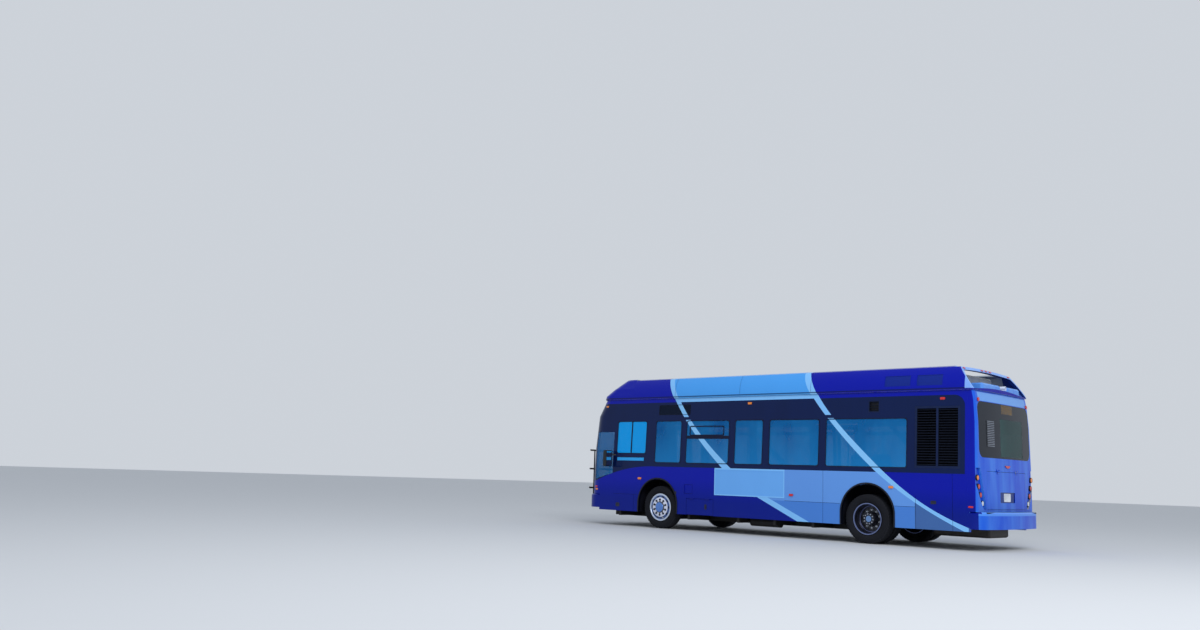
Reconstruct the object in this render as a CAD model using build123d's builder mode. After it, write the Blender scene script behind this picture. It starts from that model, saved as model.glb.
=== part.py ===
from build123d import *
import math
import os

os.makedirs("parts", exist_ok=True)

# Overall sizes in mm. +X is forward, +Y is the driver's (left) side, Z = 0 is the road.
wheelbase = 5110
rear_overhang = 2400      # rear axle to the back face of the rear bumper
front_overhang = 2350     # front axle to the front face of the front bumper
rack_reach = 200          # folded bicycle rack ahead of the front bumper
body_width = 2550
skirt_z = 340             # lower edge of the side panels
belt_z = 1355             # top of the side panels, where the walls begin to lean in
gutter_z = 2880           # rain gutter, top of the side walls
fairing_z = 3350          # top of the roof fairings
lean = 0.045              # the upper walls lean in by this much of their height
wall = 60                 # thickness of the side walls
fit = 0.3                 # gap between pieces that rest on each other
door_gap = 6              # gap round doors, flaps and lids

# Wheels and axles.
tyre_radius = 466
tyre_width = 275
rim_radius = 298
wheel_face = 1240         # outer face of the outer tyres, from the middle of the bus
twin_pitch = 311          # from the outer to the inner tyre of a twin wheel
kingpin_y = 940
hub_z = tyre_radius
bearing_gap = 0.5

# Positions along the bus, from the ends and the two axles.
half_length = (rear_overhang + wheelbase + front_overhang + rack_reach) / 2
rear_axle_x = -half_length + rear_overhang
front_axle_x = rear_axle_x + wheelbase
bumper_front_x = front_axle_x + front_overhang
bumper_rear_x = -half_length
half_width = body_width / 2
cap_x = rear_axle_x - 2020            # joint between the side walls and the rear cap
rear_face_x = rear_axle_x - 2225      # back face at the engine door
rear_top_x = rear_axle_x - 2150       # back face at the gutter
mask_x = front_axle_x + 1370          # joint between the side walls and the front mask
front_face_x = front_axle_x + 2280    # front panel at its middle, below the windscreen
front_brow_x = front_axle_x + 2205    # top of the windscreen
front_top_x = front_axle_x + 1990     # front of the roof at the gutter
fairing_front_x = front_axle_x + 1450     # top of the front fairing's slope
inner_y = half_width - wall
gutter_y = half_width - lean * (gutter_z - belt_z)

# Windows and doors.
window_low = 1440
window_high = 2380
window_corner = 45
glass_thickness = 6
glass_inset = 4
door_low = 372
door_high = 2420
door_thickness = 40
door_middle_gap = 26
front_door = (front_axle_x + 690, front_axle_x + 1630)
rear_door = (front_axle_x - 3540, front_axle_x - 2480)

# Heights of the floors.
floor_z = 400
floor_thickness = 45
deck_z = 800
bench_z = 1130
deck_x = rear_axle_x + 800
bench_x = rear_axle_x - 760

# Side windows: rear edge and front edge. The long rear bay takes up the rest of the wheelbase.
left_windows = {
    "first": (front_axle_x - 575, front_axle_x + 170),
    "second": (front_axle_x - 1870, front_axle_x - 710),
    "third": (front_axle_x - 2730, front_axle_x - 2010),
    "fourth": (front_axle_x - 4070, front_axle_x - 2880),
    "rear": (rear_axle_x - 850, front_axle_x - 4214),
}
right_windows = {
    "first": (front_axle_x - 690, front_axle_x + 560),
    "second": (front_axle_x - 2330, front_axle_x - 840),
    "rear": (rear_axle_x - 1500, front_axle_x - 3690),
}
driver_window = (front_axle_x + 430, front_axle_x + 1320, 1635, 2380)
lower_pane = (driver_window[0] + 40, driver_window[1] - 20, 1470, 1560)      # strip of glass below it
sign_window = (front_axle_x - 800, front_axle_x + 100, 2506, 2734)      # blank sign above the first window

# Wheel arches in the side walls: middle, half width and height of the crown.
arches = {
    "front": (front_axle_x + 52, 548, 1084),
    "rear": (rear_axle_x - 26, 554, 1126),
}


def across(y):
    """Plane at Y = y with X to the right and Z up; extrude runs towards -Y."""
    return Plane.XZ.offset(-y)


def station(x):
    """Plane at X = x with Y to the right and Z up; extrude runs towards +X."""
    return Plane.YZ.offset(x)


def level(z):
    return Plane.XY.offset(z)


def wall_y(z):
    """Outer face of the side wall at height z."""
    return half_width - lean * max(0, z - belt_z)


def save(piece, name):
    piece.part.label = name
    export_step(piece.part, f"parts/{name}.step")
    print(name, round(piece.part.volume))


def wall_section(side, low, high, outer, inner):
    """Section of a skin between two depths under the side wall's outer face."""
    heights = [low, belt_z, high] if low < belt_z < high else [low, high]
    points = [(side * (wall_y(z) - outer), z) for z in heights]
    points += [(side * (wall_y(z) - inner), z) for z in reversed(heights)]
    Polygon(*points, align=None)


def arch_outline(arch, grow=0):
    """Wheel arch in the XZ plane: a round crown on straight sides down past the skirt."""
    middle, half, crown = arches[arch]
    spring = crown - half
    foot = skirt_z - 120
    with Locations((middle, spring)):
        Circle(half + grow)
    with Locations((middle, (spring + foot) / 2)):
        Rectangle(2 * (half + grow), spring - foot)


def rounded_window(x0, x1, z0, z1, grow=0.0, mode=Mode.ADD):
    corner = min(window_corner, 0.08 * (z1 - z0))
    with Locations(((x0 + x1) / 2, (z0 + z1) / 2)):
        RectangleRounded(x1 - x0 + 2 * grow, z1 - z0 + 2 * grow, corner + grow, mode=mode)


def through_wall(side, grow=120):
    """Outer plane and depth of a cut that passes through one side wall."""
    low, high = sorted((side * (inner_y - grow), side * (half_width + grow)))
    return across(high), high - low


# Barrel hinges. On a hinge's plane local z is the axis, x points to the moving leaf and y outwards.
hinge_radius = 9
hinge_pin = 5
hinge_rise = hinge_radius + 0.5       # axis above the faces that it joins
hinge_length = 120
hinge_knuckle = 18
hinge_reach = 42
hinge_strap = 3


def hinge_half(plane, moving, start=door_gap / 2, sink=6):
    """Fixed half (pin and end knuckles) or moving half (sleeve) of a barrel hinge."""
    half = hinge_length / 2
    ends = [(-half, hinge_knuckle), (half - hinge_knuckle, hinge_knuckle)]
    spans = [(bearing_gap - half + hinge_knuckle, 2 * (half - hinge_knuckle - bearing_gap))]
    side = 1 if moving else -1
    with BuildPart() as piece:
        for z, height in spans if moving else ends:
            with BuildSketch(plane.offset(z)):
                Circle(hinge_radius)
                with Locations((side * hinge_reach / 2, hinge_strap / 2 - hinge_rise)):
                    Rectangle(hinge_reach, hinge_strap)
                with Locations((side * (hinge_reach + start + 1) / 2, -hinge_rise - sink / 2)):
                    Rectangle(hinge_reach - start - 1, sink + 0.5)
            extrude(amount=height)
        with BuildSketch(plane.offset(-half)):
            Circle(hinge_pin + bearing_gap if moving else hinge_pin)
        extrude(amount=hinge_length, mode=Mode.SUBTRACT if moving else Mode.ADD)
    return piece.part


def hinge_plane(at, leaf, outward):
    """Plane of a hinge at a point, from the directions of its leaf and of its outer face."""
    leaf = Vector(*leaf)
    return Plane(origin=at, x_dir=leaf, z_dir=leaf.cross(Vector(*outward)))


flap = (front_axle_x - 1500, front_axle_x - 770, skirt_z, 690)        # battery flap, left
fuel = (front_axle_x - 930, front_axle_x - 710, 786, 983)             # fuel filler flap, left
louvre = (rear_axle_x - 1885, rear_axle_x - 1000, 1450, 2590)         # engine air louvre, left
small_louvre = (rear_axle_x - 270, rear_axle_x - 30, 2490, 2720)      # saloon air louvre, left

# Grooves between the outer panels, and the raised frame round the wide panel of the left side.
groove_width = 6
groove_depth = 4
panel_seam_z = 735
upright_grooves = {
    # x, lower and upper end
    1: [(rear_axle_x + 936, skirt_z, belt_z), (rear_axle_x - 1020, skirt_z, 940),
        (rear_axle_x - 1735, skirt_z, belt_z), (front_axle_x + 748, skirt_z, 718)],
    -1: [(rear_axle_x + 936, skirt_z, belt_z), (rear_axle_x - 1020, skirt_z, 940),
         (rear_axle_x - 1735, skirt_z, belt_z), (front_axle_x - 1300, skirt_z, belt_z)],
}
level_grooves = {
    # height, rear and front end
    1: [(panel_seam_z, rear_axle_x + 560, front_axle_x - 3283),
        (panel_seam_z, rear_axle_x - 1020, rear_axle_x - 590),
        (718, front_axle_x + 640, mask_x)],
    -1: [(panel_seam_z, rear_axle_x + 560, rear_door[0] - 60),
         (panel_seam_z, rear_axle_x - 1020, rear_axle_x - 590),
         (panel_seam_z, rear_door[1] + 60, front_axle_x - 580)],
}
framed_panel = (front_axle_x - 3282, front_axle_x - 1520, 785, 1330)
frame_strip = 24
frame_proud = 3
hinge_y = half_width + hinge_rise
door_hinge_heights = (560, 1230)
hinges = {
    "flap_battery": [hinge_plane((x, hinge_y, flap[3] - door_gap / 2), (0, 0, -1), (0, 1, 0))
                     for x in (flap[0] + 150, flap[1] - 150)],
    "flap_fuel": [hinge_plane((fuel[1] - door_gap / 2, hinge_y, (fuel[2] + fuel[3]) / 2), (-1, 0, 0),
                              (0, 1, 0))],
}
for door, (x0, x1) in (("front", front_door), ("rear", rear_door)):
    for leaf, x, toward in (("fore", x1 - door_gap / 2, -1), ("aft", x0 + door_gap / 2, 1)):
        hinges[f"door_{door}_{leaf}"] = [hinge_plane((x, -hinge_y, z), (toward, 0, 0), (0, -1, 0))
                                         for z in door_hinge_heights]

# Side walls, with windows, doorways and wheel arches cut through.
side_hinges = {
    1: ("flap_battery", "flap_fuel"),
    -1: ("door_front_aft", "door_rear_fore", "door_rear_aft"),
}
side_panes = {1: [driver_window, lower_pane, sign_window], -1: [sign_window]}
for side, name, windows in ((1, "left", left_windows), (-1, "right", right_windows)):
    side_panes[side] += [(*pane, window_low, window_high) for pane in windows.values()]
    with BuildPart() as body_side:
        with BuildSketch(station(cap_x)):
            wall_section(side, skirt_z, gutter_z, 0, wall)
        extrude(amount=mask_x - cap_x)
        plane, depth = through_wall(side)
        with BuildSketch(plane):
            for pane in side_panes[side]:
                rounded_window(*pane)
            if side > 0:
                for x0, x1, z0, z1 in (flap, fuel, louvre, small_louvre):
                    with Locations(((x0 + x1) / 2, (z0 + z1) / 2)):
                        Rectangle(x1 - x0, z1 - z0)
            else:
                for x0, x1 in (front_door, rear_door):
                    with Locations(((x0 + x1) / 2, (skirt_z - 50 + door_high) / 2)):
                        Rectangle(x1 - x0, door_high - skirt_z + 50)
        extrude(amount=depth, mode=Mode.SUBTRACT)
        with BuildSketch(plane):
            for arch in arches:
                arch_outline(arch)
        extrude(amount=depth, mode=Mode.SUBTRACT)
        with BuildSketch(across(side * (half_width - (0 if side > 0 else groove_depth)))):
            for x, z0, z1 in upright_grooves[side]:
                with Locations((x, (z0 + z1) / 2)):
                    Rectangle(groove_width, z1 - z0)
            for z, x0, x1 in level_grooves[side]:
                with Locations(((x0 + x1) / 2, z)):
                    Rectangle(x1 - x0, groove_width)
        extrude(amount=groove_depth, mode=Mode.SUBTRACT)
        if side > 0:
            x0, x1, z0, z1 = framed_panel
            with BuildSketch(across(half_width + frame_proud)):
                with Locations(((x0 + x1) / 2, (z0 + z1) / 2)):
                    Rectangle(x1 - x0, z1 - z0)
                    Rectangle(x1 - x0 - 2 * frame_strip, z1 - z0 - 2 * frame_strip, mode=Mode.SUBTRACT)
            extrude(amount=frame_proud + 1)
        for leaf in side_hinges[side]:
            for plane in hinges[leaf]:
                add(hinge_half(plane, False))
    save(body_side, f"side_{name}")

with BuildPart() as side_glass:
    for side, panes in side_panes.items():
        for pane in panes:
            x0, x1, z0, z1 = pane
            with BuildSketch(station(x0 + fit)) as strip:
                wall_section(side, z0 + fit, z1 - fit, glass_inset, glass_inset + glass_thickness)
            with BuildSketch(across(side * half_width + 200)) as outline:
                rounded_window(*pane, grow=-fit)
            sheet = extrude(strip.sketch, amount=x1 - x0 - 2 * fit, mode=Mode.PRIVATE)
            cutter = extrude(outline.sketch, amount=400, mode=Mode.PRIVATE)
            add(sheet & cutter)
save(side_glass, "side_glass")

# Rubber lips round the wheel arches, lying on the side panels.
lip_width = 26
lip_proud = 12
with BuildPart() as arch_lips:
    for side in (1, -1):
        low, high = sorted((side * (half_width + fit), side * (half_width + lip_proud)))
        with BuildSketch(across(high)):
            for arch in arches:
                arch_outline(arch, lip_width)
            for arch in arches:
                with BuildSketch(Plane.XY, mode=Mode.PRIVATE) as hole:
                    arch_outline(arch)
                add(hole.sketch, mode=Mode.SUBTRACT)
            with Locations((0, skirt_z - 300)):
                Rectangle(3 * half_length, 600, mode=Mode.SUBTRACT)
        extrude(amount=high - low)
save(arch_lips, "arch_lips")

# Wheel boxes inside the arches, open towards the wheel and below.
box_thickness = 6
box_inner = {"front": 632, "rear": 612}
box_half = {"front": 592, "rear": 552}
box_corner = 260
box_top = {"front": 1060, "rear": 1100}
axle_notch = 110
with BuildPart() as wheel_boxes:
    for side in (1, -1):
        for arch, inner in box_inner.items():
            middle, half, crown = arches[arch]
            if arch == "front":
                middle = front_axle_x + 10
            for grow, reach, mode in ((box_thickness, inner, Mode.ADD),
                                      (0, inner + box_thickness, Mode.SUBTRACT)):
                low, high = sorted((side * reach, side * (inner_y - fit)))
                half = box_half[arch] + grow
                top = box_top[arch] + grow
                with BuildSketch(across(high)):
                    with BuildLine():
                        FilletPolyline(
                            (middle - half, skirt_z), (middle - half, top), (middle + half, top),
                            (middle + half, skirt_z), radius=box_corner + grow)
                        Line((middle + half, skirt_z), (middle - half, skirt_z))
                    make_face()
                extrude(amount=high - low, mode=mode)
    with BuildSketch(level(skirt_z)):
        with Locations((rear_axle_x, 0)):
            Rectangle(2 * axle_notch, 2 * (box_inner["rear"] + 3 * box_thickness))
    extrude(amount=hub_z + axle_notch - skirt_z, mode=Mode.SUBTRACT)
save(wheel_boxes, "wheel_boxes")

# Rounded ends of the body in plan: a wide arc across and a smaller one at each corner.
nose_radius = 4500
nose_corner = 340
tail_radius = 24000
tail_corner = 70
least_corner = 8          # smallest inner corner of a shell


def end_plan(z, sign, base, tip, half, radius, corner, inset=0):
    """Plan at height z of a rounded end, from the plane X = base out to tip on the centre line."""
    tip -= sign * inset
    half -= inset
    radius -= inset
    corner = max(corner - inset, least_corner)
    slew = math.asin((half - corner) / (radius - corner))
    centre_x = tip - sign * (radius - (radius - corner) * math.cos(slew))
    centre_y = half - corner
    middle = (math.pi / 2 + slew) / 2
    start = (centre_x, -half)
    bend = (centre_x + sign * corner * math.cos(middle), -centre_y - corner * math.sin(middle))
    end = (centre_x + sign * corner * math.cos(slew), -centre_y - corner * math.sin(slew))
    with BuildSketch(level(z)) as plan:
        with BuildLine():
            Line((base, -half), start)
            ThreePointArc(start, bend, end)
            ThreePointArc(end, (tip, 0), (end[0], -end[1]))
            ThreePointArc((end[0], -end[1]), (bend[0], -bend[1]), (start[0], half))
            Line((start[0], half), (base, half))
            Line((base, half), (base, -half))
        make_face()
    return plan.sketch


# Front and rear body sections: height and the end's reach on the centre line.
nose_sections = [
    (skirt_z, front_face_x), (1010, front_face_x), (belt_z, front_face_x - 5), (1770, front_face_x - 10),
    (2500, front_brow_x), (gutter_z, front_top_x),
]
tail_sections = [
    (skirt_z, rear_face_x), (belt_z, rear_face_x), (2300, rear_face_x + 12), (2700, rear_top_x - 35),
    (gutter_z, rear_top_x),
]


def end_body(sign, base, sections, radius, corner, inset):
    """Solid end of the body, lofted through its plan sections."""
    plans = [end_plan(z, sign, base, tip, wall_y(z), radius, corner, inset) for z, tip in sections]
    with BuildPart() as body:
        loft(plans, ruled=True)
    return body.part


def end_shell(sign, base, sections, radius, corner, outer, inner):
    """Skin of a body end between two depths under its outer face."""
    body = end_body(sign, base, sections, radius, corner, outer)
    core = end_body(sign, base - sign * 50, sections, radius, corner, inner)
    return body - core


windscreen = (1030, 1085, 2455, 110)          # half width, sill, head, corner radius
quarter_x = {1: (mask_x + 45, front_axle_x + 1960), -1: (front_door[1] + 70, front_axle_x + 1960)}
quarter_z = (1035, 1185, 2130)                # sill at the front and at the rear, head
front_sign = (800, 2530, 2790, 40)
rear_window = (1150, 1665, 2680, 150)
engine_hatch = (870, 735, 1425)               # half width, lower and upper edge
plate_recess = (330, 860, 1050, 14)           # half width, lower and upper edge, depth
bumper_top = 695
bumper_low = 388
front_bumper_base = front_axle_x + 1800
rear_bumper_base = rear_axle_x - 2050


def quarter_outline(side, grow=0.0):
    x0, x1 = quarter_x[side]
    front_sill, rear_sill, head = quarter_z
    Polygon((x0 - grow, rear_sill - grow), (x1 + grow, front_sill - grow), (x1 + grow, head + grow),
            (x0 - grow, head + grow), align=None)


def screen_outline(window, grow=0.0):
    half, low, high, corner = window
    with Locations((0, (low + high) / 2)):
        RectangleRounded(2 * (half + grow), high - low + 2 * grow, corner + grow)


recess_x = rear_face_x + 62           # floor of the lamp recesses
recess_outer = [(half_width + 25, 1475), (half_width - 50, 1080), (half_width - 262, bumper_top + 50)]
recess_inner = [(half_width - 360, bumper_top + 50), (half_width - 255, 1090), (half_width - 145, 1475)]


def lamp_recess(side):
    """Crescent beside the engine door, from the body's corner down towards the bumper."""
    outer = [(side * y, z) for y, z in recess_outer]
    inner = [(side * y, z) for y, z in recess_inner]
    with BuildSketch(station(recess_x)) as crescent:
        with BuildLine():
            ThreePointArc(*outer)
            Line(outer[2], inner[0])
            ThreePointArc(*inner)
            Line(inner[2], outer[0])
        make_face()
    return crescent.sketch


def tip_at(sections, z):
    """Reach of a rounded end on the centre line at height z."""
    for (z0, x0), (z1, x1) in zip(sections, sections[1:]):
        if z <= z1:
            return x0 + (x1 - x0) * (z - z0) / (z1 - z0)
    return sections[-1][1]


def end_x(sign, tip, radius, y):
    """Face of a rounded end at the distance y from the middle of the bus."""
    return tip - sign * (radius - math.sqrt(radius ** 2 - y ** 2))


def nose_side(x, z):
    """Distance of the front corner's outer face from the middle of the bus."""
    tip = tip_at(nose_sections, z)
    slew = math.asin((wall_y(z) - nose_corner) / (nose_radius - nose_corner))
    centre_x = tip - nose_radius + (nose_radius - nose_corner) * math.cos(slew)
    return wall_y(z) - nose_corner + math.sqrt(nose_corner ** 2 - max(0, x - centre_x) ** 2)


hinges["engine_door"] = [
    hinge_plane((rear_face_x - hinge_rise, y, engine_hatch[2] - door_gap / 2), (0, 0, -1), (-1, 0, 0))
    for y in (-420, 420)]

nose = end_shell(1, mask_x + fit, nose_sections, nose_radius, nose_corner, 0, wall)
with BuildPart() as front_mask:
    add(nose)
    with BuildSketch(station(front_axle_x + 1900)):
        screen_outline(windscreen)
        screen_outline(front_sign)
    extrude(amount=800, mode=Mode.SUBTRACT)
    for side in (1, -1):
        with BuildSketch(across(side * half_width + 300)):
            quarter_outline(side)
        extrude(amount=600, mode=Mode.SUBTRACT)
    with BuildSketch(across(0)):
        with Locations((front_bumper_base + 500, bumper_top / 2)):
            Rectangle(1000, bumper_top + 2 * fit)
    extrude(amount=2 * half_width, both=True, mode=Mode.SUBTRACT)
    with BuildSketch(across(0)):
        with Locations(((front_door[0] + front_door[1]) / 2, (skirt_z - 50 + door_high) / 2)):
            Rectangle(front_door[1] - front_door[0], door_high - skirt_z + 50)
    extrude(amount=2 * half_width, mode=Mode.SUBTRACT)
    for plane in hinges["door_front_fore"]:
        add(hinge_half(plane, False))
save(front_mask, "front_mask")

nose_glass = end_shell(1, mask_x + fit, nose_sections, nose_radius, nose_corner,
                       glass_inset, glass_inset + glass_thickness)
with BuildPart() as screen:
    with BuildSketch(station(front_axle_x + 1900)) as outline:
        screen_outline(windscreen, -fit)
        screen_outline(front_sign, -fit)
    add(nose_glass & extrude(outline.sketch, amount=800, mode=Mode.PRIVATE))
    for side in (1, -1):
        with BuildSketch(across(side * half_width + 300)) as outline:
            quarter_outline(side, -fit)
        add(nose_glass & extrude(outline.sketch, amount=600, mode=Mode.PRIVATE))
save(screen, "windscreen")

with BuildPart() as rear_cap:
    add(end_shell(-1, cap_x - fit, tail_sections, tail_radius, tail_corner, 0, wall))
    with BuildSketch(station(rear_top_x - 300)):
        screen_outline(rear_window)
        with Locations((0, (engine_hatch[1] + engine_hatch[2]) / 2)):
            Rectangle(2 * engine_hatch[0], engine_hatch[2] - engine_hatch[1])
    extrude(amount=400, mode=Mode.SUBTRACT)
    with BuildSketch(across(0)):
        with Locations((rear_bumper_base - 500, bumper_top / 2)):
            Rectangle(1000, bumper_top + 2 * fit)
    extrude(amount=2 * half_width, both=True, mode=Mode.SUBTRACT)
    for side in (1, -1):
        extrude(lamp_recess(side), amount=-200, mode=Mode.SUBTRACT)
    for plane in hinges["engine_door"]:
        add(hinge_half(plane, False, sink=16))
save(rear_cap, "rear_cap")

with BuildPart() as rear_glass:
    add(end_shell(-1, cap_x - fit, tail_sections, tail_radius, tail_corner,
                  glass_inset, glass_inset + glass_thickness))
    with BuildSketch(station(rear_top_x - 300)):
        screen_outline(rear_window, -fit)
    extrude(amount=400, mode=Mode.INTERSECT)
save(rear_glass, "rear_glass")

# Engine door across the back, hinged along its top edge.
with BuildPart() as engine_door:
    add(end_shell(-1, cap_x - fit, tail_sections, tail_radius, tail_corner, 0, 40))
    with BuildSketch(station(rear_top_x - 300)):
        with Locations((0, (engine_hatch[1] + engine_hatch[2]) / 2)):
            Rectangle(2 * (engine_hatch[0] - door_gap), engine_hatch[2] - engine_hatch[1] - 2 * door_gap)
    extrude(amount=400, mode=Mode.INTERSECT)
    half, low, high, recess_depth = plate_recess
    with BuildSketch(station(rear_face_x + recess_depth)):
        with Locations((0, (low + high) / 2)):
            RectangleRounded(2 * half, high - low, 20)
    extrude(amount=-100, mode=Mode.SUBTRACT)
    for plane in hinges["engine_door"]:
        add(hinge_half(plane, True, sink=16))
save(engine_door, "engine_door")

# Bumpers, hollow behind, with a chamfered upper edge. The front one has ears for the rack.
rack_hinge_z = 600
rack_hinge_x = bumper_front_x + 60
rack_bar = 14
ear_thickness = 24
bumper_thickness = 55
bumper_chamfer = 30
for sign, base, tip, radius, corner, name in (
    (1, front_bumper_base, bumper_front_x, nose_radius, nose_corner, "bumper_front"),
    (-1, rear_bumper_base, bumper_rear_x, 7000, 240, "bumper_rear"),
):
    core_base = base - sign * 50
    core = end_plan(bumper_low, sign, core_base, tip, half_width, radius, corner, bumper_thickness)
    with BuildPart() as bumper:
        extrude(end_plan(bumper_low, sign, base, tip, half_width, radius, corner),
                amount=bumper_top - bumper_low)
        top_edges = bumper.faces().sort_by(Axis.Z)[-1].edges()
        chamfer(top_edges.sort_by(Axis.X)[-1 if sign > 0 else 0], bumper_chamfer)
        if sign > 0:
            with BuildSketch(across(0)):
                with Locations((rack_hinge_x - 50, rack_hinge_z)):
                    Rectangle(100, 60)
                with Locations((rack_hinge_x, rack_hinge_z)):
                    Circle(30)
                    Circle(rack_bar + bearing_gap, mode=Mode.SUBTRACT)
            for y in (-420, 420):
                with Locations((0, y + ear_thickness / 2, 0)):
                    add(extrude(bumper.pending_faces[0], amount=ear_thickness, mode=Mode.PRIVATE))
        extrude(core, amount=bumper_top - bumper_low, mode=Mode.SUBTRACT)
    save(bumper, name)

# Roof: a flat rim that stands out as the rain gutter, and a cambered panel with hatch curbs.
roof_low = gutter_z + fit
gutter_proud = 30
rim_height = 20
roof_camber = 60
roof_thickness = 45
camber_inset = 62
hatch_size = (900, 760)
hatches = {"hatch_front": front_axle_x - 700, "hatch_rear": rear_axle_x + 1500}
curb_width = 25
roof_mid_x = (cap_x + mask_x) / 2
roof_top = roof_low + rim_height + roof_camber
hatch_seat = roof_top + 8


lid_overlap = 30
hatch_hinge_start = hinge_radius + 3
hatch_hinge_z = hatch_seat + hinge_rise + 6
for name, x in hatches.items():
    hinge_x = x + hatch_size[0] / 2 + lid_overlap + hatch_hinge_start
    hinges[name] = [hinge_plane((hinge_x, y, hatch_hinge_z), (-1, 0, 0), (0, 0, 1)) for y in (-260, 260)]


def roof_plan(z, inset):
    """Plan of the whole roof at height z, drawn in from the gutter's outer edge."""
    out = gutter_proud
    front = end_plan(z, 1, roof_mid_x - 10, front_top_x + out, gutter_y + out, nose_radius + out,
                     nose_corner + out, inset)
    rear = end_plan(z, -1, roof_mid_x + 10, rear_top_x - out, gutter_y + out, tail_radius + out,
                    tail_corner + out, inset)
    return front + rear


panel_y = gutter_y + gutter_proud - camber_inset
rim_top = roof_low + rim_height
with BuildPart() as roof:
    with BuildSketch(station(bumper_rear_x)):
        with BuildLine():
            Line((-panel_y, rim_top), (-panel_y, roof_low))
            Line((-panel_y, roof_low), (-panel_y + wall, roof_low))
            ThreePointArc((-panel_y + wall, roof_low), (0, roof_top - roof_thickness),
                          (panel_y - wall, roof_low))
            Line((panel_y - wall, roof_low), (panel_y, roof_low))
            Line((panel_y, roof_low), (panel_y, rim_top))
            ThreePointArc((panel_y, rim_top), (0, roof_top), (-panel_y, rim_top))
        make_face()
    extrude(amount=2 * half_length)
    extrude(roof_plan(roof_low, camber_inset), amount=300, mode=Mode.INTERSECT)
    extrude(roof_plan(roof_low, 0) - roof_plan(roof_low, camber_inset + wall), amount=rim_height)
    with BuildSketch(level(roof_low + rim_height)):
        for x in hatches.values():
            with Locations((x, 0)):
                RectangleRounded(hatch_size[0] + 2 * curb_width, hatch_size[1] + 2 * curb_width, 60)
    extrude(amount=hatch_seat - fit - roof_low - rim_height)
    with BuildSketch(level(roof_low)):
        for x in hatches.values():
            with Locations((x, 0)):
                RectangleRounded(hatch_size[0], hatch_size[1], 50)
    extrude(amount=300, mode=Mode.SUBTRACT)
    for name in hatches:
        for plane in hinges[name]:
            add(hinge_half(plane, False, start=hatch_hinge_start, sink=26))
save(roof, "roof")

# Hatch lids, hinged along their front edge.
lid_rise = 45
lid_thickness = 30
for name, x in hatches.items():
    with BuildPart() as lid:
        with BuildSketch(level(hatch_seat)):
            with Locations((x, 0)):
                RectangleRounded(hatch_size[0] + 2 * lid_overlap, hatch_size[1] + 2 * lid_overlap, 80)
        extrude(amount=lid_rise)
        chamfer(lid.faces().sort_by(Axis.Z)[-1].edges(), 18)
        with BuildSketch(level(hatch_seat)):
            with Locations((x, 0)):
                RectangleRounded(hatch_size[0] - 20, hatch_size[1] - 20, 50)
        extrude(amount=lid_rise - lid_thickness, mode=Mode.SUBTRACT)
        for plane in hinges[name]:
            add(hinge_half(plane, True, start=hatch_hinge_start, sink=2))
    save(lid, name)

# Roof fairings: curved shells above both gutters, the front slope and the rear hoop.
fairing_low = rim_top + fit
fairing_skin = 25
fairing_split_x = front_axle_x + 900
fairing_seam = 3
fairing_seams = [front_axle_x - 360, front_axle_x - 2120, rear_axle_x + 1250]
fairing_outline = [(1236, fairing_low), (1198, 3130), (1098, 3318), (960, fairing_z)]
fairing_inner = [(1211, fairing_low), (1173, 3124), (1080, 3298), (955, fairing_z - fairing_skin)]
hoop_rear = [(rear_axle_x - 2138, fairing_low), (rear_axle_x - 1825, fairing_z)]      # slanted back edge
hoop_front = [(rear_axle_x - 2092, fairing_low), (rear_axle_x - 1705, fairing_z)]     # where fairings end
vent_z = (2975, 3175)
vent_inset = 8
fairing_vents = [(rear_axle_x - 910, rear_axle_x - 380), (rear_axle_x - 1550, rear_axle_x - 1040)]


def fairing_section(side, x, outer_points, inner_points):
    """Closed section of a side fairing at X = x: outer and inner faces from their points."""
    outer = [(side * y, z) for y, z in outer_points]
    inner = [(side * y, z) for y, z in inner_points]
    with BuildSketch(station(x)) as section:
        with BuildLine():
            ThreePointArc(outer[0], outer[1], outer[2])
            Line(outer[2], outer[3])
            Line(outer[3], inner[3])
            Line(inner[3], inner[2])
            ThreePointArc(inner[2], inner[1], inner[0])
            Line(inner[0], outer[0])
        make_face()
    return section.sketch


def beyond(edge, reach, shift=0.0):
    """Prism right across the bus, on one side of a slanted edge seen from the side."""
    (x0, z0), (x1, z1) = edge
    slope = (x1 - x0) / (z1 - z0)
    low, high = z0 - 60, z1 + 60
    foot = x0 + slope * (low - z0) + shift
    head = x0 + slope * (high - z0) + shift
    with BuildPart() as prism:
        with BuildSketch(across(half_width)):
            Polygon((foot, low), (head, high), (head + reach, high), (foot + reach, low), align=None)
        extrude(amount=2 * half_width)
    return prism.part


panel_ends = [hoop_rear[0][0]] + sorted(fairing_seams) + [fairing_split_x]
with BuildPart() as side_fairings:
    for side in (1, -1):
        for x0, x1 in zip(panel_ends, panel_ends[1:]):
            end_gap = fit if x1 == fairing_split_x else fairing_seam
            extrude(fairing_section(side, x0, fairing_outline, fairing_inner), amount=x1 - x0 - end_gap)
        low, high = sorted((side * (half_width - 200), side * half_width))
        with BuildSketch(across(high)):
            for x0, x1 in fairing_vents:
                with Locations(((x0 + x1) / 2, sum(vent_z) / 2)):
                    Rectangle(x1 - x0, vent_z[1] - vent_z[0])
        extrude(amount=high - low, mode=Mode.SUBTRACT)
    add(beyond(hoop_front, -900), mode=Mode.SUBTRACT)
save(side_fairings, "side_fairings")

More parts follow.
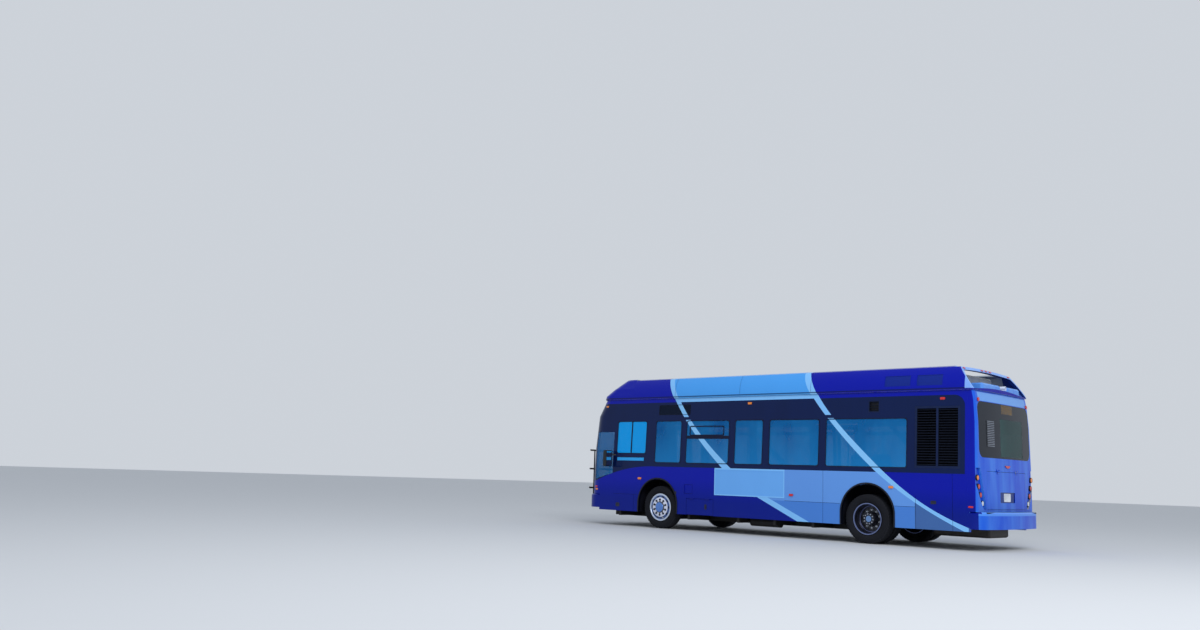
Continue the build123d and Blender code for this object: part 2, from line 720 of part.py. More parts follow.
slope_sections = [(fairing_low, front_top_x + gutter_proud, 1236),
                  (fairing_low + 70, front_top_x + gutter_proud - 20, 1232),
                  (3130, front_axle_x + 1770, 1198),
                  (fairing_z - 30, fairing_front_x + 30, 1098), (fairing_z, fairing_front_x, 1060)]
with BuildPart() as fairing_front:
    add(loft([end_plan(z, 1, fairing_split_x, tip, half, nose_radius, nose_corner)
              for z, tip, half in slope_sections], ruled=True, mode=Mode.PRIVATE)
        - loft([end_plan(z - (fairing_skin if z > 3300 else 0), 1, fairing_split_x - 50, tip, half,
                         nose_radius, nose_corner, fairing_skin)
                for z, tip, half in slope_sections], ruled=True, mode=Mode.PRIVATE))
save(fairing_front, "fairing_front")

# Hoop over the rear of the roof, leaning forward from the gutter to the tops of the fairings.
hoop_skin = 55
hoop_camber_z = fairing_outline[2][1]
with BuildPart() as rear_hoop:
    with BuildSketch(station(hoop_rear[0][0])):
        with BuildLine():
            ThreePointArc(*[(-y, z) for y, z in fairing_outline[:3]])
            ThreePointArc((-1098, hoop_camber_z), (0, fairing_z), (1098, hoop_camber_z))
            ThreePointArc(*[(y, z) for y, z in reversed(fairing_outline[:3])])
            Line((1236, fairing_low), (1236 - hoop_skin, fairing_low))
            ThreePointArc((1236 - hoop_skin, fairing_low), (1150, 3115), (1050, 3262))
            ThreePointArc((1050, 3262), (0, fairing_z - hoop_skin), (-1050, 3262))
            ThreePointArc((-1050, 3262), (-1150, 3115), (hoop_skin - 1236, fairing_low))
            Line((hoop_skin - 1236, fairing_low), (-1236, fairing_low))
        make_face()
    extrude(amount=hoop_front[1][0] - hoop_rear[0][0])
    add(beyond(hoop_rear, 900), mode=Mode.INTERSECT)
    add(beyond(hoop_front, 900, -fit), mode=Mode.SUBTRACT)
    extrude(roof_plan(fairing_low, 0), amount=fairing_z, mode=Mode.INTERSECT)
save(rear_hoop, "rear_hoop")

# Units on the roof between the fairings: cooling unit, battery pack, and the rear housings.
roof_units_table = [
    # rear edge, front edge, right edge, left edge, top
    (rear_axle_x - 1700, rear_axle_x + 300, -640, 640, 3230),
    (hatches["hatch_rear"] + 800, hatches["hatch_front"] - 710, -560, 560, 3160),
    (rear_axle_x - 2060, rear_axle_x - 1760, -190, 650, 3055),
    (rear_axle_x - 2060, rear_axle_x - 1760, -1080, -470, 3055),
]
pipe_radius = 38
pipe_at = (-330, 3020)
with BuildPart() as roof_units:
    for x0, x1, y0, y1, top in roof_units_table:
        with BuildSketch(level(rim_top)):
            with Locations(((x0 + x1) / 2, (y0 + y1) / 2)):
                RectangleRounded(x1 - x0, y1 - y0, 60)
        extrude(amount=top - rim_top)
    chamfer(roof_units.faces().filter_by(Axis.Z).filter_by(lambda f: f.center().Z > rim_top + 1).edges(), 30)
    with BuildSketch(station(rear_axle_x - 2090)):
        with Locations(pipe_at):
            Circle(pipe_radius)
            Circle(pipe_radius - 6, mode=Mode.SUBTRACT)
        with Locations((pipe_at[0], (rim_top + pipe_at[1] - pipe_radius) / 2)):
            Rectangle(50, pipe_at[1] - pipe_radius - rim_top + 10)
    extrude(amount=300)
    with BuildSketch(station(bumper_rear_x)):
        with BuildLine():
            ThreePointArc((-panel_y, rim_top + fit), (0, roof_top + fit), (panel_y, rim_top + fit))
            Polyline((panel_y, rim_top + fit), (panel_y, roof_low), (-panel_y, roof_low),
                     (-panel_y, rim_top + fit))
        make_face()
    extrude(amount=2 * half_length, mode=Mode.SUBTRACT)
save(roof_units, "roof_units")

# Floors: the low floor, and behind it the stepped deck over the rear axle and engine.
floor_x0 = deck_x + fit
floor_x1 = front_axle_x + 1960
with BuildPart() as floor:
    with BuildSketch(level(floor_z - floor_thickness)):
        with Locations(((floor_x0 + floor_x1) / 2, 0)):
            Rectangle(floor_x1 - floor_x0, 2 * (inner_y - fit))
        for side in (1, -1):
            with Locations((front_axle_x + 10, side * (box_inner["front"] - fit + 400))):
                Rectangle(2 * (box_half["front"] + box_thickness + fit), 800, mode=Mode.SUBTRACT)
            with Locations((floor_x1, side * (inner_y - fit))):
                Rectangle(360, 420, rotation=0, mode=Mode.SUBTRACT)
    extrude(amount=floor_thickness)
save(floor, "floor")

deck_rear_x = cap_x - 50
deck_step_z = (floor_z + deck_z) / 2
with BuildPart() as rear_deck:
    with BuildSketch(across(inner_y - fit)):
        with BuildLine():
            Polyline(
                (deck_x, floor_z - floor_thickness), (deck_x, deck_step_z), (deck_x - 300, deck_step_z),
                (deck_x - 300, deck_z), (bench_x, deck_z), (bench_x, bench_z), (deck_rear_x, bench_z),
                (deck_rear_x, bench_z - floor_thickness),
                (bench_x - floor_thickness, bench_z - floor_thickness),
                (bench_x - floor_thickness, deck_z - floor_thickness),
                (deck_x - 300 - floor_thickness, deck_z - floor_thickness),
                (deck_x - 300 - floor_thickness, deck_step_z - floor_thickness),
                (deck_x - floor_thickness, deck_step_z - floor_thickness),
                (deck_x - floor_thickness, floor_z - floor_thickness), close=True)
        make_face()
    extrude(amount=2 * (inner_y - fit))
    with BuildSketch(level(floor_z)):
        for side in (1, -1):
            with Locations((arches["rear"][0], side * (box_inner["rear"] - fit + 400))):
                Rectangle(2 * (box_half["rear"] + box_thickness + fit), 800)
            with Locations((deck_rear_x, side * (inner_y - fit))):
                Rectangle(310, 290)
    extrude(amount=bench_z, mode=Mode.SUBTRACT)
save(rear_deck, "rear_deck")

# Doors: two leaves at each doorway, hinged at the doorway's outer edges.
leaf_frame = 75
kick_z = 560
for door, (x0, x1) in (("front", front_door), ("rear", rear_door)):
    middle = (x0 + x1) / 2
    leaves = {
        "fore": (middle + door_middle_gap / 2, x1 - door_gap),
        "aft": (x0 + door_gap, middle - door_middle_gap / 2),
    }
    for leaf, (leaf_x0, leaf_x1) in leaves.items():
        pane = (leaf_x0 + leaf_frame, leaf_x1 - leaf_frame, kick_z, door_high - 120)
        with BuildPart() as door_leaf:
            with BuildSketch(station(leaf_x0)):
                wall_section(-1, door_low, door_high - door_gap, 0, door_thickness)
            extrude(amount=leaf_x1 - leaf_x0)
            with BuildSketch(across(-inner_y + 200)):
                rounded_window(*pane)
            extrude(amount=400, mode=Mode.SUBTRACT)
            for plane in hinges[f"door_{door}_{leaf}"]:
                add(hinge_half(plane, True))
        save(door_leaf, f"door_{door}_{leaf}")
        with BuildPart() as door_pane:
            with BuildSketch(station(pane[0] + fit)):
                wall_section(-1, pane[2] + fit, pane[3] - fit, glass_inset, glass_inset + glass_thickness)
            extrude(amount=pane[1] - pane[0] - 2 * fit)
            with BuildSketch(across(-inner_y + 200)):
                rounded_window(*pane, grow=-fit)
            extrude(amount=400, mode=Mode.INTERSECT)
        save(door_pane, f"pane_{door}_{leaf}")

# Battery and fuel flaps in the left side.
flap_thickness = 30
for name, (x0, x1, z0, z1) in (("flap_battery", flap), ("flap_fuel", fuel)):
    with BuildPart() as lid:
        with BuildSketch(across(half_width)):
            with Locations(((x0 + x1) / 2, (z0 + z1) / 2)):
                RectangleRounded(x1 - x0 - 2 * door_gap, z1 - z0 - 2 * door_gap, 12)
        extrude(amount=flap_thickness)
        for plane in hinges[name]:
            add(hinge_half(plane, True))
    save(lid, name)

# Engine air louvre: a frame with two banks of sloping slats.
louvre_frame = 42
louvre_pitch = 48
louvre_blade = 8
louvre_depth = 34
with BuildPart() as side_louvre:
    x0, x1, z0, z1 = louvre
    with BuildSketch(station(x0 + fit)):
        wall_section(1, z0 + fit, z1 - fit, 2, louvre_depth)
    extrude(amount=x1 - x0 - 2 * fit)
    bank = (x1 - x0 - 3 * louvre_frame) / 2
    with BuildSketch(across(half_width + 100)):
        for k in (-1, 1):
            with Locations(((x0 + x1) / 2 + k * (bank + louvre_frame) / 2, (z0 + z1) / 2)):
                Rectangle(bank, z1 - z0 - 2 * louvre_frame)
    extrude(amount=400, mode=Mode.SUBTRACT)
    slats = int((z1 - z0 - 2 * louvre_frame) / louvre_pitch)
    with BuildSketch(station(x0 + louvre_frame / 2)):
        for i in range(slats):
            z = z0 + louvre_frame + (i + 0.5) * louvre_pitch
            with Locations((wall_y(z) - louvre_depth / 2 - 2, z)):
                Rectangle(louvre_depth - 10, louvre_blade, rotation=-25)
    extrude(amount=x1 - x0 - louvre_frame)
save(side_louvre, "side_louvre")

# Walls of the radiator compartment in the rear left corner of the saloon.
radiator_y = 560
radiator_x = rear_axle_x - 960
radiator_rear_x = rear_top_x + 100
panel = 20
with BuildPart() as radiator_housing:
    with BuildSketch(level(bench_z + fit)):
        with Locations(((radiator_x + radiator_rear_x) / 2, radiator_y + panel / 2)):
            Rectangle(radiator_x - radiator_rear_x, panel)
        with Locations((radiator_x - panel / 2, (radiator_y + 1140) / 2)):
            Rectangle(panel, 1140 - radiator_y)
    extrude(amount=2840 - bench_z)
save(radiator_housing, "radiator_housing")

# Tyres and rims. Section coordinates are (distance from the wheel's middle plane, radius).
wheel_mid = wheel_face - tyre_width / 2
bead_radius = rim_radius - 8
tread = tyre_width / 2 - 20
bead_y = 103
flange_radius = rim_radius + 1
spindle_radius = 48
rear_tube_radius = 85


def tyre_face(x, y):
    """Half section of a tyre, its middle plane at Y = y."""
    side_y = tyre_width / 2
    with BuildSketch(station(x)) as section:
        with BuildLine():
            def p(across_y, radius):
                return (y + across_y, hub_z + radius)
            widest = 0.5 * (bead_radius + tyre_radius) + 10
            Polyline(p(-bead_y, flange_radius + 6), p(-bead_y, bead_radius), p(bead_y, bead_radius),
                     p(bead_y, flange_radius + 6))
            ThreePointArc(p(bead_y, flange_radius + 6), p(side_y, widest), p(tread, tyre_radius - 7))
            ThreePointArc(p(tread, tyre_radius - 7), p(0, tyre_radius), p(-tread, tyre_radius - 7))
            ThreePointArc(p(-tread, tyre_radius - 7), p(-side_y, widest), p(-bead_y, flange_radius + 6))
        make_face()
    return section.sketch


def rim_face(x, y, side, points):
    """Half section of a rim from (distance outboard of its middle plane, radius) points."""
    with BuildSketch(station(x)) as section:
        Polygon(*[(y + side * a, hub_z + r) for a, r in points], align=None)
    return section.sketch


def axle_line(x):
    return Axis((x, 0, hub_z), (0, 1, 0))


barrel = bead_radius - fit
front_rim = [
    # barrel, disc bowed outboard with the hub cap's face, hub barrel, back of the disc
    (-118, barrel + 9), (-106, barrel), (106, barrel), (118, barrel + 9), (118, barrel - 8),
    (108, barrel - 14), (118, 250), (132, 190), (136, 120), (158, 104), (162, 40), (162, 0),
    (110, 0), (110, spindle_radius + bearing_gap), (-60, spindle_radius + bearing_gap), (-60, 92),
    (100, 92), (112, 120), (112, 190), (98, 240), (84, barrel - 14), (-106, barrel - 14),
    (-118, barrel - 6),
]
outer_rear_rim = [
    (-118, barrel + 9), (-106, barrel), (106, barrel), (118, barrel + 9), (118, barrel - 8),
    (104, barrel - 14), (-40, barrel - 16), (-62, 250), (-64, 140), (-20, 128), (60, 118), (66, 60),
    (66, 0), (40, 0), (40, rear_tube_radius + bearing_gap), (-155, rear_tube_radius + bearing_gap),
    (-155, 140), (-84, 140), (-84, 255), (-70, barrel - 14), (-106, barrel - 14), (-118, barrel - 6),
]
hand_hole_radius = 232
hand_holes = 10
for side, hand in ((1, "left"), (-1, "right")):
    y = side * wheel_mid
    with BuildPart() as tyre:
        revolve(tyre_face(front_axle_x, y), axis=axle_line(front_axle_x))
    save(tyre, f"tyre_front_{hand}")
    with BuildPart() as rim:
        revolve(rim_face(front_axle_x, y, side, front_rim), axis=axle_line(front_axle_x))
        with BuildSketch(across(side * (wheel_face + 60))):
            with Locations((front_axle_x, hub_z)):
                with PolarLocations(hand_hole_radius, hand_holes):
                    SlotCenterToCenter(34, 30, rotation=90)
        extrude(amount=side * 120, mode=Mode.SUBTRACT)
    save(rim, f"rim_front_{hand}")
    with BuildPart() as tyres:
        for place in (y, y - side * twin_pitch):
            revolve(tyre_face(rear_axle_x, place), axis=axle_line(rear_axle_x))
    save(tyres, f"tyres_rear_{hand}")
    with BuildPart() as rims:
        revolve(rim_face(rear_axle_x, y, side, outer_rear_rim), axis=axle_line(rear_axle_x))
        with BuildSketch(across(side * wheel_face)):
            with Locations((rear_axle_x, hub_z)):
                with PolarLocations(200, hand_holes):
                    SlotCenterToCenter(34, 30, rotation=90)
        extrude(amount=side * 260, mode=Mode.SUBTRACT)
        spacer = [(a, r) for a, r in ((-84, 140), (-84, 258), (-193, 272), (-205, barrel - 14),
                                      (-205, barrel - 18), (-189, 258), (-100, 236), (-100, 140))]
        revolve(rim_face(rear_axle_x, y, side, spacer), axis=axle_line(rear_axle_x))
        revolve(rim_face(rear_axle_x, y - side * twin_pitch, side,
                         [(a, r) for a, r in ((-118, barrel + 9), (-106, barrel), (106, barrel),
                                              (118, barrel + 9), (118, barrel - 18), (-106, barrel - 18),
                                              (-118, barrel - 6))]), axis=axle_line(rear_axle_x))
    save(rims, f"rims_rear_{hand}")

# Steering knuckles: a fork round the axle's eye, the kingpin and the wheel's spindle.
eye_radius = 46
eye_low = 390
eye_high = 540
pin_radius = 22
fork_arm = 34
brake_radius = 215
for side, hand in ((1, "left"), (-1, "right")):
    pin_y = side * kingpin_y
    with BuildPart() as knuckle:
        with Locations((front_axle_x, pin_y, (eye_low + eye_high) / 2)):
            Cylinder(pin_radius, eye_high - eye_low + 2 * fork_arm)
        for z in (eye_low - fit - fork_arm / 2, eye_high + fit + fork_arm / 2):
            with BuildSketch(level(z - fork_arm / 2)):
                with Locations((front_axle_x, pin_y)):
                    Circle(eye_radius)
                with Locations((front_axle_x, side * (kingpin_y + 40))):
                    Rectangle(2 * eye_radius, 80)
            extrude(amount=fork_arm)
        with Locations((front_axle_x, side * (kingpin_y + 66), hub_z)):
            Box(2 * eye_radius, 28, eye_high - eye_low + 2 * (fork_arm + fit))
            Cylinder(brake_radius, 12, rotation=(90, 0, 0))
        spindle_end = wheel_mid + 100
        with Locations((front_axle_x, side * (kingpin_y + 60 + spindle_end) / 2, hub_z)):
            Cylinder(spindle_radius, spindle_end - kingpin_y - 60, rotation=(90, 0, 0))
    save(knuckle, f"knuckle_{hand}")

# Front axle: a dropped beam that passes under the low floor, with an eye at each end.
beam_low = 205
beam_high = 325
with BuildPart() as front_axle:
    eye_y = kingpin_y - eye_radius + 12
    with BuildSketch(station(front_axle_x - 50)):
        with BuildLine():
            FilletPolyline((-eye_y, eye_high - 30), (-eye_y + 60, eye_high - 30), (-700, beam_high),
                           (700, beam_high), (eye_y - 60, eye_high - 30), (eye_y, eye_high - 30), radius=20)
            Polyline((eye_y, eye_high - 30), (eye_y, eye_low + 10), (eye_y - 130, eye_low - 40),
                     (640, beam_low), (-640, beam_low), (130 - eye_y, eye_low - 40), (-eye_y, eye_low + 10),
                     (-eye_y, eye_high - 30))
        make_face()
    extrude(amount=100)
    with Locations(*[(front_axle_x, side * kingpin_y, (eye_low + eye_high) / 2) for side in (1, -1)]):
        Cylinder(eye_radius, eye_high - eye_low)
        Cylinder(pin_radius + bearing_gap, eye_high - eye_low, mode=Mode.SUBTRACT)
save(front_axle, "front_axle")

# Rear drive axle: tubes into the hubs and a differential housing.
with BuildPart() as rear_axle:
    with BuildSketch(station(rear_axle_x)):
        Polygon(*[(y, hub_z + r) for y, r in (
            (-wheel_mid - 30, 0), (-wheel_mid - 30, rear_tube_radius), (-420, rear_tube_radius),
            (-200, 190), (120, 190), (260, rear_tube_radius), (wheel_mid + 30, rear_tube_radius),
            (wheel_mid + 30, 0))], align=None)
    revolve(axis=axle_line(rear_axle_x))
save(rear_axle, "rear_axle")

# Chassis rails, cross members and outriggers under the floors, bolted together end to side.
rail_y = 470
rail_width = 70
rail_low = 215
floor_under = floor_z - floor_thickness
rail_high = floor_under - fit
rear_rail_low = 640
rear_rail_high = deck_z - floor_thickness - fit
front_gap = 140
frame_rear_x = rear_axle_x - 2130
crossing_width = 60
crossing_low = rail_low + 20
rail_inner = rail_y - rail_width / 2 - fit
rail_outer = rail_y + rail_width / 2 + fit
rise_front = deck_x - 60              # where the low rail ends and the rise to the rear frame starts
rise_rear = deck_x - 352
rise_back = deck_x - 440
crossings = [deck_x + 400, deck_x + 1300, deck_x + 2200, front_axle_x - 800, front_axle_x + 1200]
rear_crossings = [rear_axle_x - 700, rear_axle_x + 260, frame_rear_x + 40]
tank_radius = 90
tank_length = 720
tank_y = 860
with BuildPart() as underframe:
    for side in (1, -1):
        with BuildSketch(across(side * rail_y + rail_width / 2)):
            for x0, x1 in ((rise_front, front_axle_x - front_gap), (front_axle_x + front_gap, floor_x1)):
                with Locations(((x0 + x1) / 2, (rail_low + rail_high) / 2)):
                    Rectangle(x1 - x0, rail_high - rail_low)
            Polygon((rise_front - fit, rail_low), (rise_front - fit, rail_high), (rise_rear, 540),
                    (rise_rear, 477), align=None)
            Polygon((rise_rear - fit, 477), (rise_rear - fit, rear_rail_high), (rise_back, rear_rail_high),
                    (rise_back, 600), align=None)
            with Locations(((frame_rear_x + rise_back - fit) / 2, (rear_rail_low + rear_rail_high) / 2)):
                Rectangle(rise_back - fit - frame_rear_x, rear_rail_high - rear_rail_low)
        extrude(amount=rail_width)
    with BuildSketch(level(crossing_low)):
        for x in crossings:
            with Locations((x, 0)):
                Rectangle(crossing_width, 2 * rail_inner)
            outrigger = inner_y - fit - rail_outer
            with Locations((x, rail_outer + outrigger / 2), (x, -rail_outer - outrigger / 2)):
                Rectangle(crossing_width, outrigger)
    extrude(amount=rail_high - crossing_low)
    with BuildSketch(level(rear_rail_low)):
        for x in rear_crossings:
            with Locations((x, 0)):
                Rectangle(crossing_width, 2 * rail_inner)
    extrude(amount=rear_rail_high - rear_rail_low)
    with BuildSketch(station(crossings[1] + crossing_width / 2 + 40)):
        with Locations((tank_y, rail_high - tank_radius), (-tank_y, rail_high - tank_radius)):
            Circle(tank_radius)
    extrude(amount=tank_length)
save(underframe, "underframe")

# Air springs between the axles and the frame.
with BuildPart() as air_springs:
    for side in (1, -1):
        with BuildSketch(level(hub_z + rear_tube_radius + fit)):
            with Locations((rear_axle_x, side * 515)):
                Circle(80)
        extrude(amount=rear_rail_low - hub_z - rear_tube_radius - 2 * fit)
        with BuildSketch(level(beam_high + fit)):
            with Locations((front_axle_x, side * 420)):
                Circle(80)
        extrude(amount=floor_under - beam_high - 2 * fit)
save(air_springs, "air_springs")

# Engine and gearbox as one plain block on the rear frame.
engine_low = 212
with BuildPart() as engine:
    with BuildSketch(level(engine_low)):
        with Locations((rear_axle_x - 1500, 0)):
            RectangleRounded(1100, 2 * rail_inner, 40)
    extrude(amount=bench_z - floor_thickness - engine_low - 30)
    chamfer(engine.faces().sort_by(Axis.Z)[0].edges(), 30)
save(engine, "engine")

# Passenger seats: forward-facing pairs on legs, and side-facing pairs on the rear wheel boxes.
seat_width = 430
seat_gap = 12
seat_pitch = 760
bench_pitch = 700
cushion_profile = [(0, 390), (0, 430), (-392, 440), (-425, 372)]
back_profile = [(-425 - fit, 372), (-530, 1000), (-490, 1010), (-392 - fit, 440)]
leg_middle = -215
leg_length = 90
leg_high = 390 - (390 - 372) / 425 * (leg_length / 2 - leg_middle)
seat_rows = [
    # front of the cushion, side, height of the floor under it
    *[(front_axle_x - 1250 - seat_pitch * i, 1, floor_z) for i in range(4)],
    (front_axle_x - 1250, -1, floor_z),
    *[(bench_x - 40 - bench_pitch * i, -1, bench_z) for i in range(2)],
]
box_seat_y = (690, 1140)
with BuildPart() as seats:
    for x, side, z in seat_rows:
        for k in (0, 1):
            y = side * (inner_y - 50 - seat_width / 2 - k * (seat_width + seat_gap))
            with BuildSketch(across(y + seat_width / 2)):
                for profile in (cushion_profile, back_profile):
                    Polygon(*[(x + a, z + b) for a, b in profile], align=None)
            extrude(amount=seat_width)
        y = side * (inner_y - 50 - seat_width - seat_gap / 2)
        with BuildSketch(level(z + fit)):
            with Locations((x + leg_middle, y)):
                Rectangle(leg_length, 2 * seat_width - 100)
        extrude(amount=leg_high - 2 * fit)
    for side in (1, -1):
        for k in (-1, 1):
            x = arches["rear"][0] + k * (seat_width + seat_gap) / 2
            z = box_top["rear"] + box_thickness + fit
            y0, y1 = box_seat_y
            with BuildSketch(station(x - seat_width / 2)):
                for profile in (
                    ((y0, z), (y0, z + 60), (y1 - 60 - fit, z + 50), (y1 - 60 - fit, z)),
                    ((y1 - 60, z), (y1 - 60, z + 50), (y1 - 20, z + 600), (y1, z + 600), (y1, z)),
                ):
                    Polygon(*[(side * a, b) for a, b in profile], align=None)
            extrude(amount=seat_width)

# Driver's place: a seat on a pedestal, the dashboard and the steering wheel.
driver_y = 640
driver_x = front_axle_x + 1225
with seats:
    with BuildSketch(across(driver_y + 240)):
        for profile in (
            ((0, 340), (0, 440), (-380, 450), (-456, 340)),
            ((-456 - fit, 340), (-600, 1010), (-500, 1040), (-380 - fit, 450)),
        ):
            Polygon(*[(driver_x + a, floor_z + b + 60) for a, b in profile], align=None)
    extrude(amount=480)
    with BuildSketch(level(floor_z + fit)):
        with Locations((driver_x - 230, driver_y)):
            RectangleRounded(360, 360, 40)
    extrude(amount=400 - 2 * fit)
save(seats, "seats")

dash_x0 = front_axle_x + 1560
with BuildPart() as dashboard:
    with BuildSketch(across(1000)):
        Polygon(*[(dash_x0 + a, floor_z + fit + b) for a, b in (
            (60, 0), (60, 380), (0, 480), (0, 600), (80, 680), (360, 640), (360, 0))], align=None)
    extrude(amount=780)
    with BuildSketch(Plane(origin=(dash_x0 + 60, driver_y, floor_z + 560), z_dir=(-1, 0, 1.1))):
        Circle(32)
    extrude(amount=180)
wheel_plane = Plane(origin=(dash_x0 + 60, driver_y, floor_z + 560), z_dir=(-1, 0, 1.1)).offset(180)
with dashboard:
    with BuildSketch(wheel_plane):
        Circle(235)
        Circle(207, mode=Mode.SUBTRACT)
        Circle(55)
        for angle in (90, 210, 330):
            with PolarLocations(120, 1, start_angle=angle):
                Rectangle(190, 26)
    extrude(amount=26)
save(dashboard, "dashboard")

# Hand rails: stanchions from floor to ceiling joined by rails overhead.
tube = 17
rail_line_y = 262
rail_line_z = 2150
stanchions = [(deck_x - 340, deck_z), (deck_x + 160, floor_z), (front_axle_x - 1300, floor_z),
              (front_axle_x - 2060, floor_z), (front_axle_x + 560, floor_z)]
with BuildPart() as hand_rails:
    for side in (1, -1):
        for x, z in stanchions:
            if side < 0 and x == front_axle_x - 2060:
                x -= 260
            with BuildSketch(level(z + fit)):
                with Locations((x, side * rail_line_y)):
                    Circle(tube)
            extrude(amount=rail_line_z - z)
        with BuildSketch(station(rear_axle_x - 400)):
            with Locations((side * rail_line_y, rail_line_z)):
                Circle(tube + 3)
        extrude(amount=front_axle_x + 700 - rear_axle_x + 400)
save(hand_rails, "hand_rails")

# Screen behind the driver, standing on the wheel box.
screen_z = (box_top["front"] + box_thickness + fit, 2200)
screen_y = (400, inner_y - lean * (screen_z[1] - belt_z) - fit)
with BuildPart() as driver_screen:
    with BuildSketch(station(front_axle_x + 330)):
        with Locations((sum(screen_y) / 2, sum(screen_z) / 2)):
            Rectangle(screen_y[1] - screen_y[0], screen_z[1] - screen_z[0])
    extrude(amount=25)
save(driver_screen, "driver_screen")

# Outside mirrors on arms: the left one on the side post, the right one ahead of the door.
mirror_reach = half_width + 275
mirror_width = 210
mirror_height = 370
mirror_depth = 90
with BuildPart() as mirrors:
    x = front_axle_x + 1430
    with BuildSketch(across(mirror_reach)):
        with Locations((x, 1515)):
            RectangleRounded(mirror_depth, mirror_height, 30)
    extrude(amount=mirror_width)
    post_x = (driver_window[1] + mask_x) / 2
    with BuildSketch(level(1590)):
        Polygon((post_x - 15, wall_y(1590) + fit), (post_x + 15, wall_y(1590) + fit),
                (x + 15, mirror_reach - mirror_width + 10), (x - 25, mirror_reach - mirror_width + 10),
                align=None)
    extrude(amount=30)
    x = front_axle_x + 1965
    with BuildSketch(across(mirror_width - mirror_reach)):
        with Locations((x, 1800)):
            RectangleRounded(mirror_depth, mirror_height, 30)
    extrude(amount=mirror_width)
    foot = -nose_side(x - 15, 2170) - fit
    with BuildSketch(station(x - 15)):
        Polygon((foot, 2200), (-mirror_reach + 90, 2200), (-mirror_reach + 90, 1970),
                (-mirror_reach + 120, 1970), (-mirror_reach + 120, 2170), (foot, 2170), align=None)
    extrude(amount=30)
save(mirrors, "mirrors")


# Wipers parked along the foot of the windscreen, on pivots in the panel below it.
with BuildPart() as wipers:
    for y in (-560, 80):
        x = end_x(1, front_face_x, nose_radius, 80)
        foot_x = end_x(1, tip_at(nose_sections, 1055), nose_radius, abs(y + 10) - 18)
        with BuildSketch(station(x + 2)):
            Polygon((y - 15, 1070), (y - 5, 1040), (y + 25, 1040), (y + 480, 1150), (y + 478, 1172),
                    align=None)
        extrude(amount=14)
        with BuildSketch(station(foot_x + fit)):
            with Locations((y + 10, 1055)):
                Circle(18)
        extrude(amount=x + 10 - foot_x)
save(wipers, "wipers")

# Lamps: headlamps, tail lamps, and the small marker and side lamps.
lamp_depth = 30
with BuildPart() as headlamps:
    for side in (1, -1):
        for y in (880, 690):
            x = end_x(1, front_face_x, nose_radius, y - 85) + fit
            with BuildSketch(station(x)):
                with Locations((side * y, 880)):
                    Circle(85)
            extrude(amount=lamp_depth)
save(headlamps, "headlamps")

tail_lamp_radius = 45
tail_lamp_row = [(half_width - 54, 1300), (half_width - 92, 1143), (half_width - 162, 995),
                 (half_width - 238, 845)]
high_lamp = (half_width - 180, 2708)
high_lamp_radius = 36
brake_lamp = (230, 1540, 46)          # width, height of its flat upper edge, height
with BuildPart() as tail_lamps:
    for side in (1, -1):
        with BuildSketch(station(recess_x - fit)):
            for y, z in tail_lamp_row:
                with Locations((side * y, z)):
                    Circle(tail_lamp_radius)
        extrude(amount=-lamp_depth)
        y, z = high_lamp
        nearest = high_lamp_radius * math.sqrt(0.5)
        tip = tip_at(tail_sections, z - nearest)
        with BuildSketch(station(end_x(-1, tip, tail_radius, y - nearest) - fit)):
            with Locations((side * y, z)):
                Circle(high_lamp_radius)
        extrude(amount=-16)
    width, z, rise = brake_lamp
    with BuildSketch(station(tip_at(tail_sections, z - rise) - fit)):
        with BuildLine():
            Line((-width / 2, z), (width / 2, z))
            ThreePointArc((width / 2, z), (0, z - rise), (-width / 2, z))
        make_face()
    extrude(amount=-14)
save(tail_lamps, "tail_lamps")

marker_spots = [
    # x, height, sides
    (front_axle_x - 2375, 2725, (1, -1)), (rear_axle_x - 1550, 2727, (1, -1)),
    (rear_axle_x - 530, 1080, (1, -1)), (front_axle_x + 580, 1084, (1, -1)), (rear_axle_x + 1665, 855, (1,)),
]
hoop_marker_y = (-1000, -180, 0, 180, 1000)
hoop_slope = Vector(hoop_rear[1][0] - hoop_rear[0][0], 0, hoop_rear[1][1] - hoop_rear[0][1]).normalized()
with BuildPart() as marker_lamps:
    for x, z, sides in marker_spots:
        for side in sides:
            face = wall_y(z - 22) + fit
            with BuildSketch(across(side * (face + (18 if side > 0 else 0)))):
                with Locations((x, z)):
                    RectangleRounded(90, 44, 10)
            extrude(amount=18)
    for y in hoop_marker_y:
        z = fairing_z - (fairing_z - hoop_camber_z) * (y / 1098) ** 2 - 30
        along = (z - hoop_rear[0][1]) / hoop_slope.Z
        foot = Vector(hoop_rear[0][0], y, hoop_rear[0][1]) + hoop_slope * along
        outward = Vector(-hoop_slope.Z, 0, hoop_slope.X)
        with BuildSketch(Plane(origin=foot + outward * fit, x_dir=(0, 1, 0), z_dir=outward)):
            RectangleRounded(90, 26, 8)
        extrude(amount=14)
save(marker_lamps, "marker_lamps")

